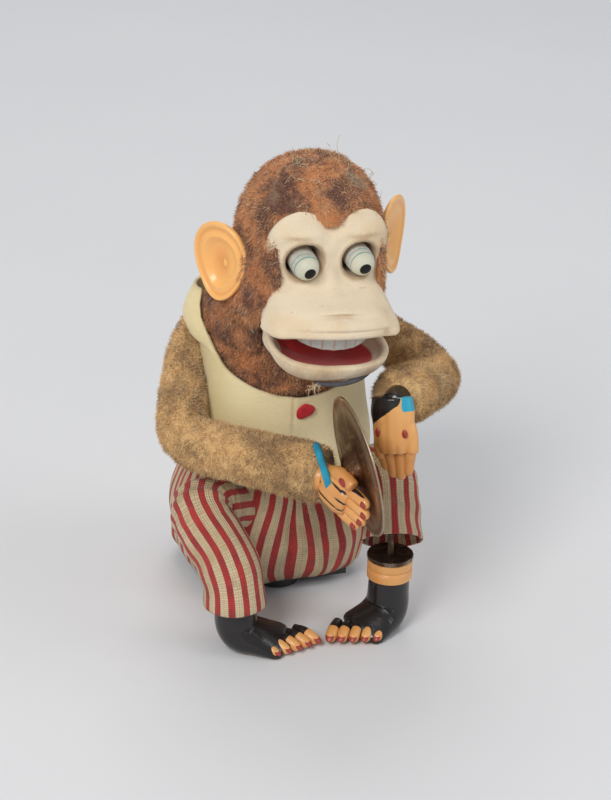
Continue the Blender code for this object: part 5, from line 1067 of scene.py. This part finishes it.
# %% Sleeves with their pile
arms = {
    "right": [(-46.5, -3.0, 152.5), (-50.5, -7.0, 144.5), (-63, -43, 104.3), (-5.0, -104.0, 104.8)],
    "left": [(46.5, -3.0, 153), (51.0, -7.0, 148.0), (78, -52, 127.1), (37, -98, 140)],
}
arm_steps = [(0, 3.4), (0.03, 5.0), (0.07, 6.6), (0.14, 8.4), (0.22, 10.4), (0.34, 12.4),
             (0.45, 13.4), (0.55, 13.6), (0.66, 13.4), (0.78, 13.6), (0.88, 14.6), (0.96, 14.6),
             (1.0, 13.4)]
for label, corners in arms.items():
    way = evenly(bend(corners, 13.0), 120)
    share = np.linspace(0, 1, 120)
    radii = smoothed(np.interp(share, *np.array(arm_steps).T), 12)
    rings = tube(way * MM, radii * MM, 72, (0, 0.3, 1))
    swell = 0.035 * lumps(rings, 0.030, 41) + 0.02 * lumps(rings, 0.012, 43)
    crease = (0.05 * bell(share, 0.47, 0.03) * (1 + np.sin(share * 150)) / 2)[:, None]
    middle = way[:, None] * MM
    rings = middle + (rings - middle) * (1 + swell - crease)[..., None]
    sleeve = dress(skin(f"{label}_sleeve", rings), arm_fur)
    hair = pile(f"{label}_sleeve_pile", rings, 38000, 0.0025, 0.00026, arm_fur, (0, 0, -0.5),
                51 if label == "right" else 57)
    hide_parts(f"{label}_upper_sleeve", f"{label}_lower_sleeve")
    for thing in (sleeve, hair):
        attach(thing, f"{label}_arm")
print("sleeves done")

# %% [markdown]
# ## Hands
# Cast vinyl hands: a palm, four fingers side by side, a thumb, and nails picked out in red.
# The dark between the right hand's fingers and at the left hand's wrist is painted shade. Each form
# is a tube along its own bone, and the paint and the painted shade are kept as values on the
# points.


# %% Hands and cuffs
def hand_axes(reach, side):
    """Unit vectors of a hand: along the fingers, across the palm and out of its back."""
    along = unit(reach)
    across = unit(side - along * (along @ side))
    return along, across, np.cross(along, across)


def nail(place, ahead, across, out, size):
    """A small domed nail, woven: a flattened ball, half sunk in the finger."""
    b = np.linspace(0.03, np.pi - 0.03, 14)[:, None]
    a = circle(24)[None]
    a, b = a[..., None], b[..., None]
    ball = (1.15 * np.cos(b) * ahead + 0.80 * np.sin(b) * np.cos(a) * across
            + 0.35 * np.sin(b) * np.sin(a) * out)
    return weave((place + size * ball) * MM, nail=1.0)


def bone(points, radii, flat=1.0, samples=34, sides=28, out=None):
    """A finger or toe: a tube along a smooth run with a rounded tip, squeezed along out."""
    way = through(points, samples)
    t = np.linspace(0, 1, samples)
    cap = np.sqrt(np.maximum(1 - np.clip((t - 0.86) / 0.14, 0, 1) ** 2, 0.0)) + 0.02
    ring = tube(way, through(np.asarray(radii)[:, None], samples)[:, 0] * cap, sides)
    if out is not None:
        middle = way[:, None]
        high = ((ring - middle) @ out)[..., None] * out
        ring = ring - high * (1 - flat)
    return ring


hand_rows = {
    "right": ((-7.0, -104, 105.0), (12.0, -36, -12.5), (0, -0.05, 1.0), (0.94, -0.30, 0.10),
              1.0, -1.0),
    "left": ((37, -98, 140), (-1, -12, -41), (0.75, -0.55, 0.0), (-0.650, -0.730, 0.205),
             8.6, -4.0),
}
for label, (wrist, reach, side, run, stretch, curl) in hand_rows.items():
    along, across, out = hand_axes(reach, side)
    length = np.linalg.norm(reach)
    root = np.array(wrist) + np.array(run) * stretch
    forms = []

    def spot(a, b, c):
        return root + a * across + b * out + c * along

    palm_way = through([spot(0, 0, -2), spot(0, 0, 5), spot(0.3, 0.3, 0.25 * length),
                        spot(0.3, 0.5, 0.48 * length), spot(0.2, 0.2, 0.62 * length)], 40)
    first = 8.0 if label == "right" else 10.5
    palm_radii = through([[first], [first + 1.0], [11.0], [10.4], [7.6]], 40)[:, 0]
    palm = tube(palm_way, palm_radii, 48, across)
    middle = palm_way[:, None]
    palm = palm - (((palm - middle) @ out) * 0.36)[..., None] * out
    t = np.linspace(0, 1, 40)[:, None]
    ripple = (palm - root) @ across
    groove = bell(np.abs(ripple + 0.2) % 5.2, 2.6, 0.62) * ease(t, 0.16, 0.40)
    palm = palm - (groove * 0.9 * (((palm - middle) @ out) > 0))[..., None] * out
    back_side = (palm - middle) @ out > 0
    if label == "right":
        # On the right hand the dark marks lie in the grooves between the finger roots: painted
        # shade.
        dark = clamp(groove * 1.2 * back_side)
        blue = 0 * ripple
    else:
        # On the left hand the palm is black towards the wrist: painted shade where the hand comes
        # out of the sleeve.
        dark = clamp(1.15 * (1 - ease(t + 0.03 * ripple, 0.05, 0.42)))
        blue = ease(ripple, 4.5, 8.0) * (1 - ease(t, 0.16, 0.38))
        dark = dark * (1 - blue)
    forms.append(weave(palm * MM, dark=dark, blue=blue, nail=0 * dark))
    stub = np.linspace(np.array(wrist) - np.array(run) * 3.0, spot(0, 0, 3.0), 10)
    # The stub at the wrist is black on the left hand: painted shade inside the sleeve's end.
    forms.append(weave(tube(stub * MM, 7.4 * MM, 36), dark=1.0 if label == "left" else 0.0))
    close = 1.0 if label == "right" else 0.62
    for k, (a, cut) in enumerate(((7.8, 0.05), (2.7, 0.0), (-2.6, 0.03), (-7.6, 0.12))):
        tip = length * (1 - cut) - 2.9
        points = [spot(0.9 * a, 0.2, 0.34 * length), spot(a, curl * 0.3, 0.60 * length),
                  spot(1.06 * a * (1 + close) / 2, curl * 0.8, 0.84 * tip),
                  spot(1.08 * a * close, curl * 1.2, tip + 2.2)]
        ring = bone(points, [3.3, 3.35, 3.1, 2.6], 0.92, out=out)
        middle = through(points, 34)[:, None]
        beside = np.abs((ring - middle) @ across) / 3.1
        high = ((ring - middle) @ out) > -0.5
        # Dark streaks down the sides of the right hand's fingers: painted shade between the
        # fingers.
        streak = ease(beside, 0.70, 0.98) * high * 0.9 if label == "right" else 0.0 * beside
        streak = streak * (1 - 0.5 * ease(np.linspace(0, 1, 34)[:, None], 0.6, 0.9))
        forms.append(weave(ring * MM, dark=streak))
        if label == "right":
            seat = spot(1.08 * a, curl * 1.1 + 2.0, tip - 0.8)
            forms.append(nail(seat, along, across, out, 2.35))
    wide = 1.0 if label == "right" else 0.74
    thumb = [spot(6.2 * wide, 0.3, 0.12 * length),
             spot(11.4 * wide, curl * 0.1 + 0.6, 0.34 * length),
             spot(12.6 * wide, curl * 0.2 + 1.0, 0.56 * length),
             spot(12.4 * wide, curl * 0.3 + 1.0, 0.64 * length)]
    forms.append(weave(bone(thumb, [3.4, 3.9, 3.6, 3.0], out=out) * MM, dark=0.0))
    if label == "right":
        forms.append(nail(spot(12.6, 4.2, 0.50 * length), along, across, out, 2.6))
    else:
        for a, c in ((-6.6, 0.36), (7.4, 0.38)):
            forms.append(nail(spot(a, 6.0, c * length), along, across, out, 1.9))
    hand = dress(add(f"{label}_hand_cast", forms), vinyl)
    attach(hand, f"{label}_arm")
    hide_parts(f"{label}_hand")
    run = unit((0.94, -0.18, 0.28) if label == "right" else run)
    round_to, ahead_by, forward = (14.8, 0.2, 2.6) if label == "right" else (8.2, -2.6, -0.2)
    e = unit(np.cross(run, (0, 0, 1.0)))
    a = circle(64)
    spoke = np.cos(a)[:, None] * e + np.sin(a)[:, None] * np.cross(run, e)
    turn = circle(24)[:, None]
    height = 1.9 * np.sin(turn) + ahead_by
    radius = round_to + 1.5 * np.cos(turn) + 0.25 * np.sin(5 * a + height)
    cuff_rings = np.array(wrist) + (forward + height)[..., None] * run + radius[..., None] * spoke
    cuff = dress(skin(f"{label}_cuff_band", cuff_rings * MM, loop=True), blue_felt)
    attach(cuff, f"{label}_arm")
    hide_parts(f"{label}_cuff")
print("hands and cuffs done")


# %% [markdown]
# ## Cymbal
# Spun sheet brass: a small dome in the middle, a slightly coned plate and fine turning lines.
# A turned profile gives it.

# %% The cymbal
def lathe(centre, axis, profile, sides=96):
    """Rings of a turned form: centre + height * axis + radius * (cos a * e + sin a * f)."""
    axis = unit(axis)
    e = unit(np.cross(axis, (0, 1.0, 0) if abs(axis[1]) < 0.9 else (1.0, 0, 0)))
    f = np.cross(axis, e)
    a = circle(sides)
    profile = np.asarray(profile, float)
    spoke = np.cos(a)[:, None] * e + np.sin(a)[:, None] * f
    return np.asarray(centre) + profile[:, 1, None, None] * axis + profile[:, 0, None, None] * spoke


BORE, DOME_FLAT, DOME, RIM = 2.6, 4.5, 13.3, 37.0


def cymbal_lift(r):
    """Height of the upper face over the rim's plane at a radius."""
    share = clamp((r - DOME_FLAT) / (DOME - DOME_FLAT))
    return 1.6 * (1 - r / RIM) + 5.8 * (1 + np.cos(np.pi * share)) / 2


r = np.linspace(BORE, RIM, 90)
fine = 0.05 * np.sin(r * 5.0)
upper = np.stack([r, cymbal_lift(r) + fine], 1)
lower = np.stack([r[::-1], cymbal_lift(r[::-1]) - 0.8 + fine[::-1]], 1)
rings = lathe((8.0, -119.0, 114.3), (-0.981, 0.028, -0.186), np.concatenate([upper, lower]), 144)
reach = np.concatenate([r, r[::-1]])[:, None]
# The rim values lighten the brass near the edge: a painted highlight.
rim = bell(reach, 36.6, 0.8) + 0.55 * bell(reach, 31, 3.5)
disc = dress(skin("cymbal_disc", rings * MM, loop=True, rim=clamp(rim)), cymbal_metal)
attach(disc, "right_arm")
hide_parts("cymbal")
print("cymbal", len(disc.data.polygons))

# %% [markdown]
# ## Trousers
# Striped ticking, sewn as a seat and two legs. The seat is a loose bag over the battery case, so
# its rings go from a boxy bottom to a round waist. Each leg is a tube along hip, knee and shin
# with the folds of a bent knee. The stripes run along the cloth.

# %% Seat and legs
seat_rows = [(9.9, 47.3, 1.75, 43.3, 3.4), (12, 48.6, 1.6, 44.0, 3.6),
             (16.3, 49.8, 1.25, 44.4, 3.8), (29.3, 51.8, 0.25, 46.9, 3.6),
             (40, 52.5, 0.0, 47.4, 3.2), (50.3, 52.4, -0.35, 47.4, 2.8),
             (60, 50.6, -2.5, 45.4, 2.5), (69.3, 48.2, -5.5, 41.6, 2.35),
             (78, 46.6, -7, 42.2, 2.3), (85.0, 45.0, -7.7, 42.8, 2.3)]
height, wide, middle, deep, power = through(seat_rows, 90).T[..., None]
a = circle(2000)
ring = np.stack([52 * boxy(np.cos(a), 0.62), 47 * boxy(np.sin(a), 0.62)], 1)
steps = np.linalg.norm(np.diff(ring, axis=0, append=ring[:1]), axis=1)
gone = np.append(0, np.cumsum(steps))
a = np.interp(np.linspace(0, gone[-1], 201)[:-1], gone, np.append(a, 2 * np.pi))
cosine, sine = boxy(np.cos(a), 2 / power), boxy(np.sin(a), 2 / power)
x, y, z = np.broadcast_arrays(wide * cosine, middle + deep * sine, height)
tuck = np.sin(a * 26 + np.sin(a * 3) * 2)[None] * 0.5 * (1 - ease(z, 12, 30))
fold = 0.8 * lumps(np.stack([x, y, z], -1) * MM, 0.028, 61)
fold = fold + 0.5 * np.sin(x * 0.35 + z * 0.12) * ease(-y, 10, 40)
crotch = 2.2 * bump_at(-1.0, 36, x, z, 2.4, 24) * (y < -20)
scale = 1 + (fold + tuck - 0.4) / 50
rings = np.stack([x * scale, middle + (y - middle) * scale + crotch, z], -1) * MM
seat = dress(skin("seat_cloth", rings, ends=(False, False)), seat_ticking, thick(0.0011))
area = flat_area(rings)
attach(seat, "chassis")
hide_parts("trouser_seat")
print("seat area", round(area, 4))

leg_rows = {
    "right": ([(-30, -30, 56), (-59.5, -57.5, 70), (-46.3, -85.3, 47), (-45.8, -86.2, 26.3)], 16.5),
    "left": ([(30, -30, 56), (49, -60, 80), (42.5, -84.8, 50)], 16.2),
}
for label, (corners, size) in leg_rows.items():
    way = evenly(bend(corners, 15.0), 110)
    share = np.linspace(0, 1, 110)[:, None]
    knee_at = 0.36 if label == "right" else 0.45
    rings = tube(way * MM, size * MM, 96, (0, 0, 1))
    middle = way[:, None] * MM
    gather = 0.05 * np.sin(share * 90 + 2 * lumps(rings, 0.05, 73)) * bell(share, knee_at, 0.12)
    loose = 0.030 * lumps(rings, 0.024, 71) + 0.02 * np.sin(share * 34)
    hem = 0.05 * ease(share, 0.93, 1.0) * (1 if label == "left" else 0.2)
    rings = middle + (rings - middle) * (1 - 0.02 + gather + loose + hem)[..., None]
    leg = dress(skin(f"{label}_leg_cloth", rings, ends=(False, False)), leg_ticking, thick(0.0011))
    area = flat_area(rings)
    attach(leg, "chassis")
    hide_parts(f"{label}_trouser_leg")
    flat_size = (0.104, 0.125 if label == "right" else 0.095)
    min(area, flat_size[0] * flat_size[1])
    print(label, "leg area", round(area, 5))

# %% [markdown]
# ## Feet and collars
# The feet are cast vinyl shoes with toes, painted black with tan toes and red nails. The foot is
# an oval tube that comes down the ankle, turns forward and widens to the row of toes, flat on the
# floor. The toes are short tubes. A collar with one groove stands on each ankle.

# %% Feet and collars
SOLE = 0.25
foot_steps = [0, 0.2, 0.45, 0.7, 0.88, 0.96, 1.0]
for side, label, ankle in ((-1, "right", (-45.5, -86.0)), (1, "left", (41.0, -87.0))):
    inner, outer = np.array([side * 3.2, -99.5, 2.4]), np.array([side * 27.5, -106.0, 2.2])
    line = unit(outer - inner) * [1, 1, 0]
    ahead = unit((inner + outer)[:2] / 2 - ankle)
    toe_way = np.append(unit(ahead + [-side * 0.26, -0.96]), 0.0)
    front = (inner + outer) / 2 - toe_way * 7.5 + [0, 0, 1.6]
    corner = np.array([ankle[0] + ahead[0], ankle[1] + ahead[1], 9.5])
    way = evenly(bend([(ankle[0], ankle[1], 29.8), corner, front], 8.0), 90)
    share = np.linspace(0, 1, 90)
    wide = smoothed(np.interp(share, foot_steps, [10.9, 11.0, 12.2, 13.2, 13.6, 12.4, 8.6]), 4)
    high = smoothed(np.interp(share, foot_steps, [10.9, 11.4, 11.2, 8.0, 5.2, 4.0, 2.2]), 4)
    tangent = unit(np.gradient(way, axis=0))
    turn = ease(share, 0.35, 0.95)[:, None]
    beside = (1 - turn) * [-side * ahead[1], side * ahead[0], 0] + turn * line
    beside = unit(beside - tangent * (beside * tangent).sum(1)[:, None])
    over = np.cross(tangent, beside)
    a = circle(72)[None, :, None]
    rings = (way[:, None] + wide[:, None, None] * np.cos(a) * beside[:, None]
             + high[:, None, None] * np.sin(a) * over[:, None])
    rings[..., 2] = np.maximum(rings[..., 2], SOLE + 0.10 * np.minimum(rings[..., 2], 0))
    low = 1 - ease(rings[..., 2], 0.3, 3.0)
    forms = [weave(rings * MM, dark=clamp(1.0 - 0.50 * low))]
    for i in range(5):
        part = i / 4
        size = 3.0 - 0.45 * part
        tip = inner + (outer - inner) * part + toe_way * (0.8 * math.sin(math.pi * part))
        tip = tip + [0, 0, size * 0.2]
        root = tip - toe_way * 15.0 + [0, 0, 3.0]
        points = [root, tip - toe_way * 9.5 + [0, 0, 3.4], tip - toe_way * 4.5 + [0, 0, 2.0], tip]
        ring = bone(points, [size, size, size * 1.06, size * 0.86])
        ring[..., 2] = np.maximum(ring[..., 2], SOLE)
        t = np.linspace(0, 1, 34)[:, None]
        between = np.abs((ring - through(points, 34)[:, None]) @ line) / size
        # Dark streaks down the sides of each toe: painted shade between the toes.
        streak = 0.85 * ease(between, 0.80, 1.0) * (1 - ease(t, 0.6, 0.9))
        toe_dark = clamp(1.0 - ease(t, 0.36, 0.56) + streak)
        forms.append(weave(ring * MM, dark=toe_dark))
        side_way = np.cross((0, 0, 1.0), toe_way)
        slope = np.array([toe_way[0] * 0.80, toe_way[1] * 0.80, -0.60])
        out = np.cross(slope, side_way)
        out = out * np.sign(out[2])
        seat_at = tip - toe_way + [0, 0, size * 0.72]
        forms.append(nail(seat_at, slope, side_way, out, size))
    foot = dress(add(f"{label}_foot_cast", forms), vinyl)
    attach(foot, "chassis")
    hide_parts(f"{label}_foot")
    wall = through([(2.4, 0.2), (7.0, 0.1), (11.6, 0.2), (12.1, 0.7), (12.2, 2.5), (12.2, 4.6),
                    (11.5, 5.5), (11.4, 6.0), (12.1, 6.9), (12.2, 9.0), (12.0, 10.4), (11.4, 10.9),
                    (7.0, 10.9), (2.4, 10.9)], 70)
    collar_rings = lathe((ankle[0], ankle[1], 30.3), (0, 0, 1), wall, 72)
    collar = dress(skin(f"{label}_collar_ring", collar_rings * MM, loop=True), vinyl)
    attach(collar, "chassis")
    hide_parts(f"{label}_collar")
print("feet and collars done")

# %% [markdown]
# ## Studio
# The picture was taken on a pale sweep of paper under broad soft lamps, the stronger one to the
# left of the camera. The sweep is one surface: flat, then curved up behind. The lamps are large
# so that the shadow under the toy stays soft.

# %% Floor and lamps
CURVE_FROM, CURVE_SIZE = 1.4, 1.2
bow = np.linspace(0, np.pi / 2, 24)
curve = np.stack([CURVE_FROM + CURVE_SIZE * np.sin(bow), CURVE_SIZE * (1 - np.cos(bow))], 1)
sweep = np.concatenate([[[-3.0, 0.0]], curve, [[2.6, 4.0]]])
across = np.linspace(-4, 4, 9)[None]
floor_rings = np.stack(np.broadcast_arrays(across, sweep[:, :1], sweep[:, 1:]), -1)
paper = plain("studio_paper", (0.735, 0.735, 0.745), (0.720, 0.720, 0.732), 3.0, 0.9, 0.0)
floor = dress(skin("studio_sweep", floor_rings, closed=False), paper)
floor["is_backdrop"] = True


def lamp(name, place, aim, size, watts, colour):
    """A round soft lamp at a place, turned to its aim."""
    light = bpy.data.lights.new(name, "AREA")
    light.shape, light.size, light.energy, light.color = "DISK", size, watts, colour
    holder = bpy.data.objects.new(name, light)
    way = Vector(place) - Vector(aim)
    turned = way.to_track_quat("Z", "Y").to_matrix().to_4x4()
    holder.matrix_world = Matrix.Translation(place) @ turned
    bpy.context.scene.collection.objects.link(holder)


lamp("key", (-1.4, -1.5, 1.8), (0, 0, 0.12), 1.1, 38.0, (1.0, 0.985, 0.96))
lamp("fill", (1.7, -1.1, 1.2), (0, 0, 0.12), 1.4, 10.0, (0.96, 0.98, 1.0))
lamp("back", (0.3, 1.2, 1.8), (0, 0, 0.15), 1.2, 10.0, (1.0, 1.0, 1.0))
world = bpy.data.worlds.new("studio_air")
bpy.context.scene.world = world
world.use_nodes = True
air = world.node_tree.nodes["Background"].inputs
air["Color"].default_value = (0.80, 0.82, 0.85, 1.0)
air["Strength"].default_value = 0.50
print("studio ready")

# %% The bounds of the shown pieces
low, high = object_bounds()
